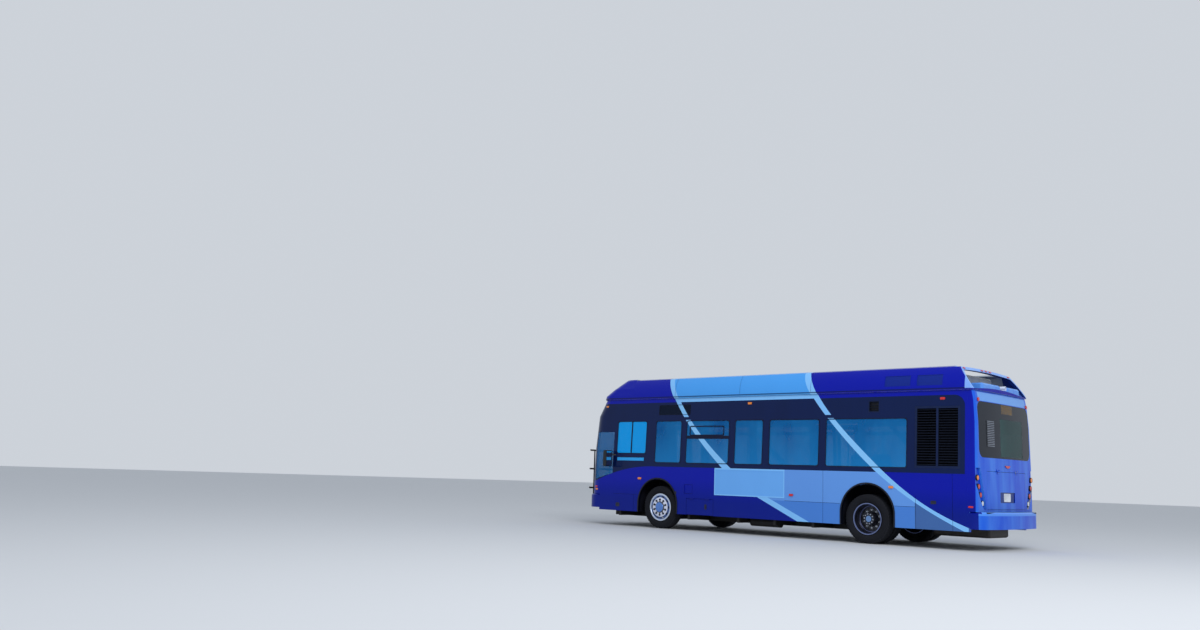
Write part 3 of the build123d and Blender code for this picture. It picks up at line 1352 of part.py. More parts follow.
# Rubber seals round the panes, the bar of the driver's window, and the hopper vent of a side window.
seal_width = 16
seal_proud = 3
hopper = left_windows["second"]
with BuildPart() as window_seals:
    for side, panes in side_panes.items():
        for pane in panes:
            x0, x1, z0, z1 = pane
            width = seal_width / 2 if z1 - z0 < 300 else seal_width
            with BuildSketch(station(x0 + fit)) as strip:
                wall_section(side, z0 + fit, z1 - fit, -seal_proud, glass_inset - fit)
            with BuildSketch(across(side * half_width + 200)) as outline:
                rounded_window(*pane, grow=-fit)
                rounded_window(x0 + width, x1 - width, z0 + width, z1 - width, mode=Mode.SUBTRACT)
                if pane == driver_window:
                    with Locations(((x0 + x1) / 2, (z0 + z1) / 2)):
                        Rectangle(30, z1 - z0 - 2 * seal_width + 2)
                if side > 0 and (x0, x1) == hopper:
                    with Locations(((x0 + x1) / 2, 2012)):
                        Rectangle(x1 - x0 - 2 * seal_width + 2, 66)
                    with Locations(((x0 + x1) / 2 + 25, 2153)):
                        RectangleRounded(930, 215, 30)
                        RectangleRounded(886, 171, 20, mode=Mode.SUBTRACT)
            sheet = extrude(strip.sketch, amount=x1 - x0 - 2 * fit, mode=Mode.PRIVATE)
            cutter = extrude(outline.sketch, amount=400, mode=Mode.PRIVATE)
            add(sheet & cutter)
save(window_seals, "window_seals")

# Small vents: saloon air louvre, panels of the fairings' vents, and slats on the rear glass.
vent_outer = [(y - vent_inset, z) for y, z in fairing_outline]
vent_inner = [(y + vent_inset / 2, z) for y, z in fairing_inner]


def fairing_vent(side, x0, x1):
    """Panel that fills a vent's opening in a side fairing, a little below its outer face."""
    with BuildPart() as vent:
        extrude(fairing_section(side, x0 + fit, vent_outer, vent_inner), amount=x1 - x0 - 2 * fit)
        with BuildSketch(across(half_width)):
            with Locations(((x0 + x1) / 2, sum(vent_z) / 2)):
                Rectangle(x1 - x0, vent_z[1] - vent_z[0] - 2 * fit)
        extrude(amount=2 * half_width, mode=Mode.INTERSECT)
    return vent.part


slat_pitch = 32
rear_slats = (530, 820, 1880, 2330)   # inner and outer edge, lower and upper end
with BuildPart() as small_vents:
    x0, x1, z0, z1 = small_louvre
    with BuildSketch(station(x0 + fit)):
        wall_section(1, z0 + fit, z1 - fit, 2, louvre_depth)
    extrude(amount=x1 - x0 - 2 * fit)
    with BuildSketch(across(half_width + 100)):
        with Locations(((x0 + x1) / 2, (z0 + z1) / 2)):
            Rectangle(x1 - x0 - 40, z1 - z0 - 40)
    extrude(amount=400, mode=Mode.SUBTRACT)
    with BuildSketch(station(x0 + 10)):
        for i in range(int((z1 - z0 - 40) / louvre_pitch) + 1):
            z = z0 + 20 + (i + 0.5) * louvre_pitch
            if z < z1 - 20:
                with Locations((wall_y(z) - louvre_depth / 2 - 2, z)):
                    Rectangle(louvre_depth - 10, louvre_blade, rotation=-25)
    extrude(amount=x1 - x0 - 20)
    for side in (1, -1):
        for x0, x1 in fairing_vents:
            add(fairing_vent(side, x0, x1))
    y0, y1, z0, z1 = rear_slats
    for i in range(int((z1 - z0) / slat_pitch) + 1):
        z = z0 + i * slat_pitch
        face = end_x(-1, tip_at(tail_sections, z - 8) + glass_inset, tail_radius, y0) - fit
        with BuildSketch(station(face)):
            with Locations(((y0 + y1) / 2, z)):
                Rectangle(y1 - y0, 15)
        extrude(amount=-10)
save(small_vents, "small_vents")

# Bicycle rack on the front bumper, folded up; it hinges down about the bar at its foot.
rack_top = 1730
rack_half = 850
rack_tube = 15
tray_heights = (820, 1270, rack_top - rack_tube)
uprights = [k * (rack_half - rack_tube) / 3 for k in (-3, -1, 1, 3)]
with BuildPart() as bike_rack:
    with BuildSketch(level(rack_hinge_z)):
        with Locations(*[(rack_hinge_x, y) for y in uprights]):
            Circle(rack_tube)
    extrude(amount=rack_top - rack_hinge_z)
    with BuildSketch(across(rack_half)):
        with Locations((rack_hinge_x, rack_hinge_z)):
            Circle(rack_bar + fit)
    extrude(amount=2 * rack_half, mode=Mode.SUBTRACT)
    with BuildSketch(across(rack_half)):
        with Locations((rack_hinge_x, rack_hinge_z)):
            Circle(rack_bar)
    extrude(amount=2 * rack_half)
    tray_x = rack_hinge_x + rack_tube + fit
    for z in tray_heights:
        with BuildSketch(across(rack_half)):
            with BuildLine():
                Polyline((half_length, z + 24), (half_length, z), (half_length - 12, z - rack_tube),
                         (tray_x, z - rack_tube), (tray_x, z + rack_tube), (tray_x + 4, z + rack_tube),
                         (tray_x + 4, z - rack_tube + 4), (half_length - 14, z - rack_tube + 4),
                         (half_length - 4, z + 1), (half_length - 4, z + 24), close=True)
            make_face()
        extrude(amount=2 * rack_half)
save(bike_rack, "bike_rack")
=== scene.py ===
import math
from functools import partialmethod

import bmesh
import bpy
import numpy as np
from mathutils import Matrix, Vector


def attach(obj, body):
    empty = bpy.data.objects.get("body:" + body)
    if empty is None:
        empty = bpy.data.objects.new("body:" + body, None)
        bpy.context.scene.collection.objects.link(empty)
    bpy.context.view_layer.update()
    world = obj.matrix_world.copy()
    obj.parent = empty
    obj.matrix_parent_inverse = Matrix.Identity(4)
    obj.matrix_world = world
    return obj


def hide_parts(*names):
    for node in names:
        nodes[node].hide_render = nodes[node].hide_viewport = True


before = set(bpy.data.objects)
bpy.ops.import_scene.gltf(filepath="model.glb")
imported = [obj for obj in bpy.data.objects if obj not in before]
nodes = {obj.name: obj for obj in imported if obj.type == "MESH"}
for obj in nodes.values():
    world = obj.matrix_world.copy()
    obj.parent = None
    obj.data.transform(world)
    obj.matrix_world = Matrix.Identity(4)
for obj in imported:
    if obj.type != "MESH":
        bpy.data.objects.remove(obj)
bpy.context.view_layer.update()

# Camera: it stands on the bus's left and well behind it, about a metre above the ground, and looks
# ahead along the side and up a little. The whole frame of the picture is kept.
eye = Vector((-13.089, 20.066, 1.090))
yaw, pitch, roll = math.radians(-46.950), math.radians(8.504), math.radians(1.961)
ahead = Vector((math.cos(pitch) * math.cos(yaw), math.cos(pitch) * math.sin(yaw), math.sin(pitch)))
level_right = ahead.cross(Vector((0, 0, 1))).normalized()
level_up = level_right.cross(ahead)
right = level_right * math.cos(roll) + level_up * math.sin(roll)
up = level_up * math.cos(roll) - level_right * math.sin(roll)


def linked(name, data):
    """An object of a name and its data, linked into the scene."""
    made = bpy.data.objects.new(name, data)
    bpy.context.scene.collection.objects.link(made)
    return made


camera = linked("camera", bpy.data.cameras.new("camera"))
camera.data.lens = 32.41
camera.data.sensor_width = 36
camera.data.clip_end = 400
turn = Matrix((right, up, -ahead)).transposed().to_4x4()
camera.matrix_world = Matrix.Translation(eye) @ turn
bpy.context.scene.camera = camera

# Painted shell: pressed and moulded panels in royal blue, with pale blue slanted stripes and side
# panels, and a dark glass-like band round the windows. The paint is sprayed over bonded panels.
rear_axle_x = -2.630
front_axle_x = 2.480
belt_z = 1.355
gutter_z = 2.880
half_width = 1.275
lean = 0.045
rear_face_x = rear_axle_x - 2.225


def srgb(red, green, blue):
    """Linear colour of a screen colour in numbers up to 255. Each, over 255, is divided by 12.92 up
    to 0.04045, and above that it plus 0.055, over 1.055, is raised to the power 2.4."""
    shown = np.array([red, green, blue]) / 255
    linear = np.where(shown <= 0.04045, shown / 12.92, ((shown + 0.055) / 1.055) ** 2.4)
    return (*linear.tolist(), 1.0)


class Sock:
    """A value that runs through a finish's nodes. Arithmetic on it adds Math nodes."""

    def __init__(self, finish, out):
        """Keeps the finish, and the output that carries the value."""
        self.finish, self.out = finish, out

    def maths(self, operation, *values):
        """Result of a Math node that takes this value first and the others after it."""
        inputs = dict(enumerate((self, *values)))
        return self.finish.node("ShaderNodeMath", {"operation": operation}, inputs)

    def wave(self, rate):
        """Sine of this value times a rate."""
        return (self * rate).maths("SINE")

    def clamped(self):
        """This value, raised to 0 where it is less and cut to 1 where it is more."""
        return self.maths("MAXIMUM", 0.0).maths("MINIMUM", 1.0)

    def __rsub__(self, other):
        """A plain number less this value."""
        return self.finish.node("ShaderNodeMath", {"operation": "SUBTRACT"}, {0: other, 1: self})

    __add__ = __radd__ = partialmethod(maths, "ADD")
    __sub__ = partialmethod(maths, "SUBTRACT")
    __mul__ = partialmethod(maths, "MULTIPLY")
    # A comparison is 1 where it holds and 0 elsewhere.
    __gt__ = partialmethod(maths, "GREATER_THAN")
    __lt__ = partialmethod(maths, "LESS_THAN")
    # The size of the value, without its sign.
    __abs__ = partialmethod(maths, "ABSOLUTE")


class Finish:
    """A material: one Principled shader and the nodes that feed it."""

    def __init__(self, name, **fixed):
        """Makes the material and sets plain numbers and colours on its shader."""
        self.material = bpy.data.materials.new(name)
        self.material.use_nodes = True
        self.tree = self.material.node_tree
        self.shader = self.tree.nodes["Principled BSDF"]
        self.feed(**fixed)

    def join(self, value, socket):
        """Links a running value to a socket, or sets a number, a vector or a screen colour on it."""
        if isinstance(value, Sock):
            self.tree.links.new(value.out, socket)
        else:
            socket.default_value = srgb(*value) if socket.type == "RGBA" else value

    def node(self, kind, settings=None, inputs=None, output=0):
        """Adds a node: its settings first, then the values or links of its sockets."""
        made = self.tree.nodes.new(kind)
        for key, value in (settings or {}).items():
            setattr(made, key, value)
        for key, value in (inputs or {}).items():
            self.join(value, made.inputs[key])
        return Sock(self, made.outputs[output])

    def mix(self, factor, low, high):
        """Colour that goes evenly from low to high as the factor goes from 0 to 1."""
        return self.node("ShaderNodeMix", {"data_type": "RGBA"}, {0: factor, 6: low, 7: high}, 2)

    def layers(self, colour, *laid):
        """A colour with (factor, colour) pairs mixed over it in turn."""
        for factor, tint in laid:
            colour = self.mix(factor, colour, tint)
        return colour

    def parts(self, kind):
        """The three parts of a texture coordinate."""
        point = self.node("ShaderNodeTexCoord", output=kind)
        split = self.node("ShaderNodeSeparateXYZ", inputs={0: point})
        return [Sock(self, out) for out in split.out.node.outputs]

    def place(self):
        """Object coordinates as three values."""
        return self.parts("Object")

    def facing(self):
        """The face's outward direction as three values, in the piece's own frame."""
        return self.parts("Normal")

    def noise(self, scale, detail=3.0, stretch=(1, 1, 1)):
        """Soft noise from 0 to 1 over Object coordinates stretched along the axes."""
        point = self.node("ShaderNodeTexCoord", output="Object")
        point = self.node("ShaderNodeVectorMath", {"operation": "MULTIPLY"}, {0: point, 1: stretch})
        return self.node("ShaderNodeTexNoise", inputs={"Vector": point, "Scale": scale, "Detail": detail})

    def relief(self, height, depth):
        """Bump of a height from 0 to 1 over a depth in metres."""
        bump = self.node("ShaderNodeBump", inputs={"Height": height, "Distance": depth}, output="Normal")
        self.join(bump, self.shader.inputs["Normal"])

    def feed(self, **links):
        """Joins each value to the shader's socket of that name."""
        for socket, value in links.items():
            self.join(value, self.shader.inputs[socket.replace("_", " ")])


def band(value, low, high):
    """1 where low < value < high, and 0 elsewhere."""
    return (value > low) * (value < high)


# Edges of the two long stripes as (height, front edge, rear edge). These and the lengths below
# that are measured along the bus start at the rear axle.
stripe_fore = np.array([
    (3.345, 5.007, 4.870), (2.870, 4.780, 4.650), (2.460, 4.500, 4.360), (2.390, 4.413, 4.296),
    (1.355, 3.397, 3.170)])
stripe_aft = np.array([
    (3.345, 1.462, 1.335), (2.885, 1.236, 1.100), (2.455, 0.945, 0.790), (2.380, 0.853, 0.718),
    (1.905, 0.373, 0.235), (1.540, -0.024, -0.182), (1.372, -0.186, -0.374), (1.070, -0.573, -0.715),
    (0.825, -0.990, -1.120), (0.595, -1.440, -1.580), (0.400, -1.800, -2.040)])
stripe_end = -2.03
stripe_break_z = (2.392, 2.456)
third_front, third_rear = (2.476, 1.480), (2.213, 1.200)
third_top_z, third_height = 0.775, 0.455
belt_bend, belt_fall, belt_low_z = 5.34, 0.123, 1.0
pale_gutter_z = (2.792, 2.872)
band_rear, band_top_z, band_radius = -1.975, 2.790, 0.205
panel_rear, panel_front, panel_foot_z = 1.828, 3.590, 0.785
frame_width, frame_top_z = 0.024, 1.326
painted_shade_top_z = 1.08
mid_foot_z, slate_front, slate_top_z = 0.735, -1.005, 0.940
fairing_gap_z = (2.893, 2.922)
fairing_joints = (front_axle_x - 0.36, front_axle_x - 2.12, rear_axle_x + 1.25)
# the second blue is the royal blue darkened, for painted shade low on the sides
royal, royal_painted_shade, sky, stripe_blue = (0, 8, 160), (4, 22, 128), (80, 168, 242), (140, 204, 254)
panel_blue, mid_blue, low_blue = (116, 182, 246), (106, 160, 230), (80, 137, 215)
slate, band_navy, seam_navy = (72, 110, 166), (6, 20, 60), (3, 8, 40)


def stripe_sides(table, degree, x, z):
    """Distances behind a stripe's front edge and ahead of its rear one. An edge is the polynomial
    of the height that passes closest to the table's points, worked out term by term."""
    edges = []
    for column in (1, 2):
        terms = np.polyfit(table[:, 0], table[:, column] + rear_axle_x, degree)
        reach = z * float(terms[0]) + float(terms[1])
        for term in terms[2:]:
            reach = reach * z + float(term)
        edges.append(reach)
    return edges[0] - x, x - edges[1]


def past_slant(reach, z, ends):
    """Distance ahead of a straight edge with a top and a foot: the reach less the top, plus the
    fall below the top's height times the edge's run over its height."""
    top, foot = ends
    return reach - (top - (third_top_z - z) * ((top - foot) / third_height))


def livery(finish, x, y, z):
    """Colour of the painted shell at a place, and 1 where it is the dark glass-like band. Each area
    is a product of tests that are 1 or 0, and the areas are laid over one another in turn."""
    fore_lead, fore_trail = stripe_sides(stripe_fore, 2, x, z)
    aft_lead, aft_trail = stripe_sides(stripe_aft, 5, x, z)
    reach = x - rear_axle_x
    # the belt line drops towards the nose by the square of the run past its bend
    past_bend = (reach - belt_bend).maths("MAXIMUM", 0.0)
    sweep = (belt_z + 0.001 - past_bend * past_bend * belt_fall).maths("MAXIMUM", belt_low_z)
    above = z > sweep
    lower = 1 - above
    between = (fore_lead > 0) * (aft_trail > 0) * above
    # dark band round the windows, with a rounded upper corner at its rear end
    run = band_rear + band_radius - reach
    rise = z - (band_top_z - band_radius)
    corner = (run > 0) * (rise > 0) * (run * run + rise * rise > band_radius ** 2)
    dark = above * (z < band_top_z) * (reach > band_rear) * (1 - corner)
    # lower side: pale behind the big framed panel, between the slanted stripes
    # painted shade: below a set height the lower side's blue is mixed towards a darker blue, more so nearer
    # the ground
    shade = ((painted_shade_top_z - z) * 2.2).clamped()
    ahead = past_slant(reach, z, third_rear)
    panel = band(reach, panel_rear, panel_front) * (z > panel_foot_z) * lower
    frame_sides = (reach > panel_front - frame_width) + (reach < panel_rear + frame_width)
    frame_ends = (z > frame_top_z) + (z < panel_foot_z + frame_width)
    border = panel * (y > 0) * (frame_sides + frame_ends > 0.5)
    pale = (reach < panel_rear + 0.001) * (z > third_top_z) + (z < panel_foot_z) * (ahead < 0) > 0.5
    pale = pale * (aft_trail > 0) * lower
    third = (past_slant(reach, z, third_front) < 0) * (ahead > 0) * (z < panel_foot_z)
    # the two long stripes, broken along the top edge of the windows
    unbroken = 1 - band(z, *stripe_break_z)
    fore = (fore_lead > 0) * (fore_trail > 0) * (z > belt_z) * unbroken
    aft = (aft_lead > 0) * (aft_trail > 0) * unbroken * (reach > stripe_end)
    stripes = (fore + aft) > 0.5
    # the gap under the fairings, painted dark as its shadow, and the leaning joints between their lengths
    gap_shadow_and_joints = band(z, *fairing_gap_z) * 0.75
    for joint in fairing_joints:
        gap_shadow_and_joints = gap_shadow_and_joints + (abs(x - joint - (z - 2.9) * 0.06) < 0.004) * (z > 2.93) * 0.6
    colour = finish.layers(
        royal, (between, sky), (between * band(z, *pale_gutter_z), stripe_blue), (dark, band_navy),
        (lower * shade * 0.9, royal_painted_shade), (panel, panel_blue), (border, stripe_blue), (pale, mid_blue),
        (pale * (z < mid_foot_z), low_blue), (pale * (reach < slate_front) * (z < slate_top_z), slate),
        (third, stripe_blue), (stripes, stripe_blue),
        (gap_shadow_and_joints.maths("MINIMUM", 0.8) * (abs(y) > 1.0), seam_navy))
    return colour, dark * (1 - stripes)


def wall_depth(y, z):
    """Depth of a point under the side wall's outer face: half the width, less the lean times the
    height over the belt, less the distance from the bus's middle plane."""
    inset = (z - belt_z).maths("MAXIMUM", 0.0) * lean
    return half_width - inset - abs(y)


def inward(finish, x, y, z):
    """1 on faces that look towards the middle of the bus, where the face's direction times the
    place is well below 0 or the face looks down, and 0 on its outer faces and edges."""
    along, across, over = finish.facing()
    ends = ((along * x) < -1.2) * (abs(y) < 1.190)
    return ((across * y) < -0.35) + ends + (over < -0.5) * (z > 2.5) * (x < 4.15) > 0.5


shell = Finish("shell_paint", Coat_Weight=0.25, Coat_Roughness=0.06, Specular_IOR_Level=0.22,
               Specular_Tint=(120, 170, 255), Coat_Tint=(205, 225, 255))
x, y, z = shell.place()
along, across, over = shell.facing()
colour, glassy = livery(shell, x, y, z)
depth = wall_depth(y, z)
# upright streaks of painted reflection, faint over all the paint and stronger on the hoop; they also vary
# the roughness
reflection_streaks = shell.noise(3.0, 5.0, (1.0, 1.0, 0.25))
# soft patches of painted reflection on the tail
smear = ((shell.noise(2.2, 2.0, (1.0, 1.6, 0.30)) - 0.38) * 3.0).clamped()
# rear end: the tail painted a lighter blue as if in sunlight, with painted reflection smears, the bed of
# the plate, a painted highlight on the header over the window, and the hoop
tail = (along < -0.5) * (x < rear_face_x + 0.3)
plate_bed = tail * band(z, 0.860, 1.050) * (abs(y) < 0.330) * (x > rear_face_x + 0.0115)
header_highlight = tail * band(z, 2.690, 2.850) * (abs(y) < 1.080)
# the hoop's rear and side faces are painted pale as a highlight, and its inside a dark blue as shade
hoop_lit_faces = (along < -0.35) + (abs(y) > 1.06) * (x < rear_axle_x - 1.98) > 0.5
hoop_highlight = (x < rear_axle_x - 1.700) * (z > 2.905) * hoop_lit_faces
hoop_inside_shade = (z > 2.90) * (x < rear_axle_x - 1.700)
# the tail lamps' crescents: a darker bed, and side walls painted lighter as a highlight
crescent = (x < rear_face_x + 0.080) * band(abs(y), 0.85, 1.238) * band(z, 0.75, 1.48)
bed = crescent * (x > rear_face_x + 0.058) * (along < -0.5)
crescent_wall_highlight = crescent * (abs(across) > 0.5)
# the groove round the side's parts, painted dark inside as its shade, and the cut edges of the wheel
# arches, painted near black
groove = band(depth, 0.0012, 0.0075) * (z < gutter_z) * band(x, rear_face_x + 0.2, 3.85)
arch_edge = (abs(across) < 0.4) * (z < 1.16) * (abs(y) > 1.1)
arch_edge = arch_edge * ((abs(x - front_axle_x) < 0.70) + (abs(x - rear_axle_x) < 0.70)) * (over > -0.95)
lining = inward(shell, x, y, z) * (depth > 0.012)
# a painted highlight along the top of the rear bumper
bumper_top_highlight = tail * band(z, 0.630, 0.700)
colour = shell.layers(
    colour, (tail, shell.mix(smear, (10, 80, 212), (62, 126, 228))), (bumper_top_highlight, (86, 150, 240)),
    (plate_bed, (10, 44, 120)), (header_highlight, (112, 166, 232)),
    (hoop_highlight, shell.mix(reflection_streaks, (104, 160, 240), (160, 196, 250))), (reflection_streaks * 0.08, (10, 60, 150)),
    (groove, seam_navy), (bed, (10, 66, 196)), (crescent_wall_highlight, (70, 136, 232)),
    (arch_edge.maths("MINIMUM", 1.0), (6, 8, 20)),
    (lining, shell.mix(hoop_inside_shade, (150, 156, 165), (14, 36, 104))))
shell.feed(Base_Color=colour, Roughness=0.26 + reflection_streaks * 0.14 + lining * 0.3 - glassy * 0.1)
shell.relief(shell.noise(60.0, 2.0), 0.0004)


def dress(finish, *names):
    """Gives CAD nodes their finish, in place of any they have."""
    for name in names:
        slots = nodes[name].data.materials
        slots.clear()
        slots.append(finish.material)


dress(shell, "side_left", "side_right", "front_mask", "rear_cap", "engine_door", "flap_battery",
      "flap_fuel", "bumper_front", "bumper_rear", "side_fairings", "fairing_front", "rear_hoop")

# Roof: a cambered composite panel with a metal gutter strip along each edge.
# The strip carries the side's colours, and the panel between the fairings is a pale grey.
roof = Finish("roof_finish", Coat_Weight=0.1, Coat_Roughness=0.2, Specular_IOR_Level=0.3)
x, y, z = roof.place()
dirt = roof.noise(2.2, 6.0)
top = roof.mix(dirt, (176, 184, 196), (128, 134, 142))
panel = band(x, rear_axle_x - 2.080, front_axle_x + 1.900) * (abs(y) < 1.150)
bare = panel + inward(roof, x, y, z) > 0.5
roof.feed(Base_Color=roof.mix(bare, livery(roof, x, y, z)[0], top),
          Roughness=0.4 + dirt * 0.25)
roof.relief(dirt, 0.001)
dress(roof, "roof")

# Window glass: tinted safety glass bonded flush into the sides, the doors and the rear.
# Pale film stripes run on over the side panes, and blank sign panes sit in the dark band.
def glazing(name, tint, reflection_tint):
    """Tinted see-through glass with streaks of painted reflection: the tint turns into the reflection
    colour where noise, pulled about its middle by 1.7, is high, and the streaks add a little to the
    roughness."""
    finish = Finish(name, Specular_IOR_Level=0.30, Specular_Tint=(140, 185, 255))
    finish.smears = ((finish.noise(1.6, 4.0, (1.0, 1.0, 0.4)) - 0.5) * 1.7 + 0.5).maths("MAXIMUM", 0.0)
    finish.tint = finish.mix(finish.smears, tint, reflection_tint)
    finish.feed(Base_Color=finish.tint, Roughness=0.03 + finish.smears * 0.05)
    finish.material.surface_render_method = "BLENDED"
    return finish


side_pane = glazing("side_pane_glass", (0, 80, 152), (34, 134, 198))
x, y, z = side_pane.place()
fore_lead, fore_trail = stripe_sides(stripe_fore, 2, x, z)
aft_lead, aft_trail = stripe_sides(stripe_aft, 5, x, z)
film_fore = (fore_lead > 0) * (fore_trail > 0)
film = (film_fore + (aft_lead > 0) * (aft_trail > 0) > 0.5) * (z < stripe_break_z[0])
driver_pane = band(x, front_axle_x + 0.43, front_axle_x + 1.32) * (y > 0)
sign = z > 2.45
tint = side_pane.layers(
    side_pane.tint, ((2.15 - z) * 1.3, (30, 134, 204)), (driver_pane, (8, 166, 246)),
    (driver_pane * (z < 1.60), (56, 176, 250)), (sign, (6, 10, 26)),
    (film + sign * (film_fore > 0.5) > 0.5, stripe_blue))
solid = (film + sign + driver_pane * 0.6).maths("MINIMUM", 1.0)
side_pane.feed(Base_Color=tint, Alpha=0.62 + side_pane.smears * 0.08 + solid * 0.28)
dress(side_pane, "side_glass")
screen = glazing("screen_glass", (20, 98, 162), (40, 124, 188))
x, y, z = screen.place()
sign = z > 2.50
screen.feed(Base_Color=screen.mix(sign, screen.tint, (6, 8, 14)),
            Alpha=0.50 + screen.smears * 0.08 + sign * 0.42)
dress(screen, "windscreen")
door_glass = glazing("door_glass", (6, 70, 124), (30, 110, 168))
door_glass.feed(Alpha=0.60 - door_glass.smears * 0.08)
dress(door_glass, "pane_front_fore", "pane_front_aft", "pane_rear_fore", "pane_rear_aft")
pane = glazing("rear_pane_glass", (1, 2, 4), (9, 14, 20))
x, y, z = pane.place()
clear = band(y, -0.790, 0.250) * band(z, 1.700, 2.400)
display = band(y, -0.360, 0.140) * band(z, 2.500, 2.670)
dots = (y.wave(480.0) * z.wave(480.0)) > 0.2
# the see-through middle of the rear pane also carries painted reflection smears
tint = pane.layers(
    pane.tint, (clear, pane.mix(pane.smears, (8, 40, 38), (40, 84, 78))),
    (display, pane.mix(dots, (8, 8, 10), (150, 112, 30))))
pane.feed(Base_Color=tint, Alpha=0.94 - clear * 0.34)
dress(pane, "rear_glass")

# Plain plastics, rubbers and metals of the mounted parts.
# They are moulded, cast or pressed pieces, bolted or bonded to the shell and the frame.
def grained(name, colour, worn, rough, grain=900.0, depth=0.0002, **fixed):
    """Moulded or cast surface: noise turns its colour into the worn one and moves its roughness by
    0.08 to each side, and finer noise is its grain."""
    finish = Finish(name, **fixed)
    mottle = finish.noise(7.0, 5.0)
    finish.feed(Base_Color=finish.mix(mottle, colour, worn), Roughness=rough - 0.08 + mottle * 0.16)
    finish.relief(finish.noise(grain, 2.0), depth)
    return finish


black_plastic = grained("black_plastic", (14, 16, 22), (34, 37, 45), 0.5, Specular_IOR_Level=0.3)
dress(black_plastic, "door_front_fore", "door_front_aft", "door_rear_fore", "door_rear_aft", "wipers",
      "dashboard")
# the wheel boxes are black; the radiator housing behind the louvre takes the same black as painted shade,
# so the louvre looks dark
dress(grained("arch_black_and_housing_shade", (5, 6, 16), (16, 18, 30), 0.8, 200.0, 0.0005, Specular_IOR_Level=0.15),
      "wheel_boxes", "radiator_housing")
rubber = grained("trim_rubber", (12, 14, 22), (28, 31, 42), 0.6, Specular_IOR_Level=0.3)
dress(rubber, "arch_lips", "air_springs")
dress(grained("window_seal", (6, 12, 36), (18, 26, 58), 0.6, Specular_IOR_Level=0.2), "window_seals")
chassis = grained("chassis_paint", (14, 15, 18), (44, 42, 40), 0.6, 120.0, 0.0006, Specular_IOR_Level=0.3)
dress(chassis, "underframe", "front_axle", "rear_axle", "knuckle_left", "knuckle_right", "bike_rack")
dress(grained("cast_iron", (52, 53, 55), (82, 76, 70), 0.55, 160.0, 0.0008, Metallic=0.6), "engine")
dress(grained("grey_panel", (150, 154, 160), (128, 132, 140), 0.5), "driver_screen")
satin = grained("satin_steel", (196, 198, 200), (160, 163, 168), 0.28, 500.0, 0.0001, Metallic=1.0)
dress(satin, "hand_rails")

# Louvres: dark blue frames with black sloping slats in the sides, a grey one behind the rear glass,
# and blue pierced panels in the roof fairings. They are folded sheet, screwed in from behind.
louvre = Finish("louvre_paint", Specular_IOR_Level=0.12)
x, y, z = louvre.place()
wear = louvre.noise(9.0, 4.0)
frame_blue = louvre.mix(wear, (16, 28, 62), (26, 40, 76))
slat_black = louvre.mix(wear, (14, 20, 34), (26, 32, 48))
pierced = (x.wave(420.0) * z.wave(420.0)) > 0.35
colour = louvre.layers(
    slat_black, (band(wall_depth(y, z), -0.01, 0.006), frame_blue),
    (z > 2.90, louvre.mix(pierced, (20, 46, 148), (6, 14, 60))),
    (x < rear_face_x + 0.3, louvre.mix(wear, (140, 146, 156), (96, 102, 114))))
louvre.feed(Base_Color=colour, Roughness=0.45 + wear * 0.2)
louvre.relief(louvre.noise(500.0, 2.0), 0.0002)
dress(louvre, "side_louvre", "small_vents")

# Floor: ribbed vinyl covering on plywood, with speckles, glued down and turned up at the edges.
# The rear deck carries the same covering on its steps.
covering = Finish("floor_cover")
x, y, z = covering.place()
scuffs = covering.noise(2.5, 5.0)
speckle = covering.noise(420.0, 1.0) > 0.62
colour = covering.mix(scuffs, (54, 58, 70), (76, 80, 92))
covering.feed(Base_Color=covering.mix(speckle * 0.5, colour, (140, 146, 156)),
              Roughness=0.55 + scuffs * 0.2)
covering.relief(y.wave(520.0), 0.0006)
dress(covering, "floor", "rear_deck")

# Mirrors: black moulded heads on steel arms, with a silvered glass set into each rear face.
# The glass lies a finger's width inside the edge of its head.
mirror = Finish("mirror_finish", Specular_IOR_Level=0.4)
x, y, z = mirror.place()
along, across, over = mirror.facing()
wear = mirror.noise(12.0, 3.0)
left_glass = band(y, 1.360, 1.530) * band(z, 1.350, 1.680)
right_glass = band(y, -1.530, -1.360) * band(z, 1.635, 1.965)
glass = (left_glass + right_glass) * (along < -0.9)
head_black = mirror.mix(wear, (14, 16, 22), (36, 39, 46))
mirror.feed(Base_Color=mirror.mix(glass, head_black, (214, 220, 226)),
            Metallic=glass, Roughness=0.50 - glass * 0.46 + wear * 0.02)
mirror.relief(mirror.noise(700.0, 2.0) * (1.0 - glass), 0.0002)
dress(mirror, "mirrors")

# Seats: moulded pads in woven moquette on grey plastic shells, each pair on a steel pedestal.
# The pads are foam, crowned and stitched across; the shells are bolted to the wall and the floor.
seat_width = 0.430
seat_pitch = 0.442
wall_side = half_width - 0.060 - 0.050


def together(*parts):
    """Points from their coordinates, which are spread over one another's rows and columns."""
    return np.stack(np.broadcast_arrays(*parts), axis=-1)


def surface(points, wrap_rows=False, wrap_columns=True):
    """Quads between neighbours in a grid of points of shape (rows, columns, 3)."""
    rows, columns = points.shape[:2]
    index = np.arange(rows * columns).reshape(rows, columns)
    if wrap_rows:
        index = np.vstack((index, index[:1]))
    if wrap_columns:
        index = np.hstack((index, index[:, :1]))
    quads = together(index[:-1, :-1], index[:-1, 1:], index[1:, 1:], index[1:, :-1])
    return points.reshape(-1, 3), quads.reshape(-1, 4)


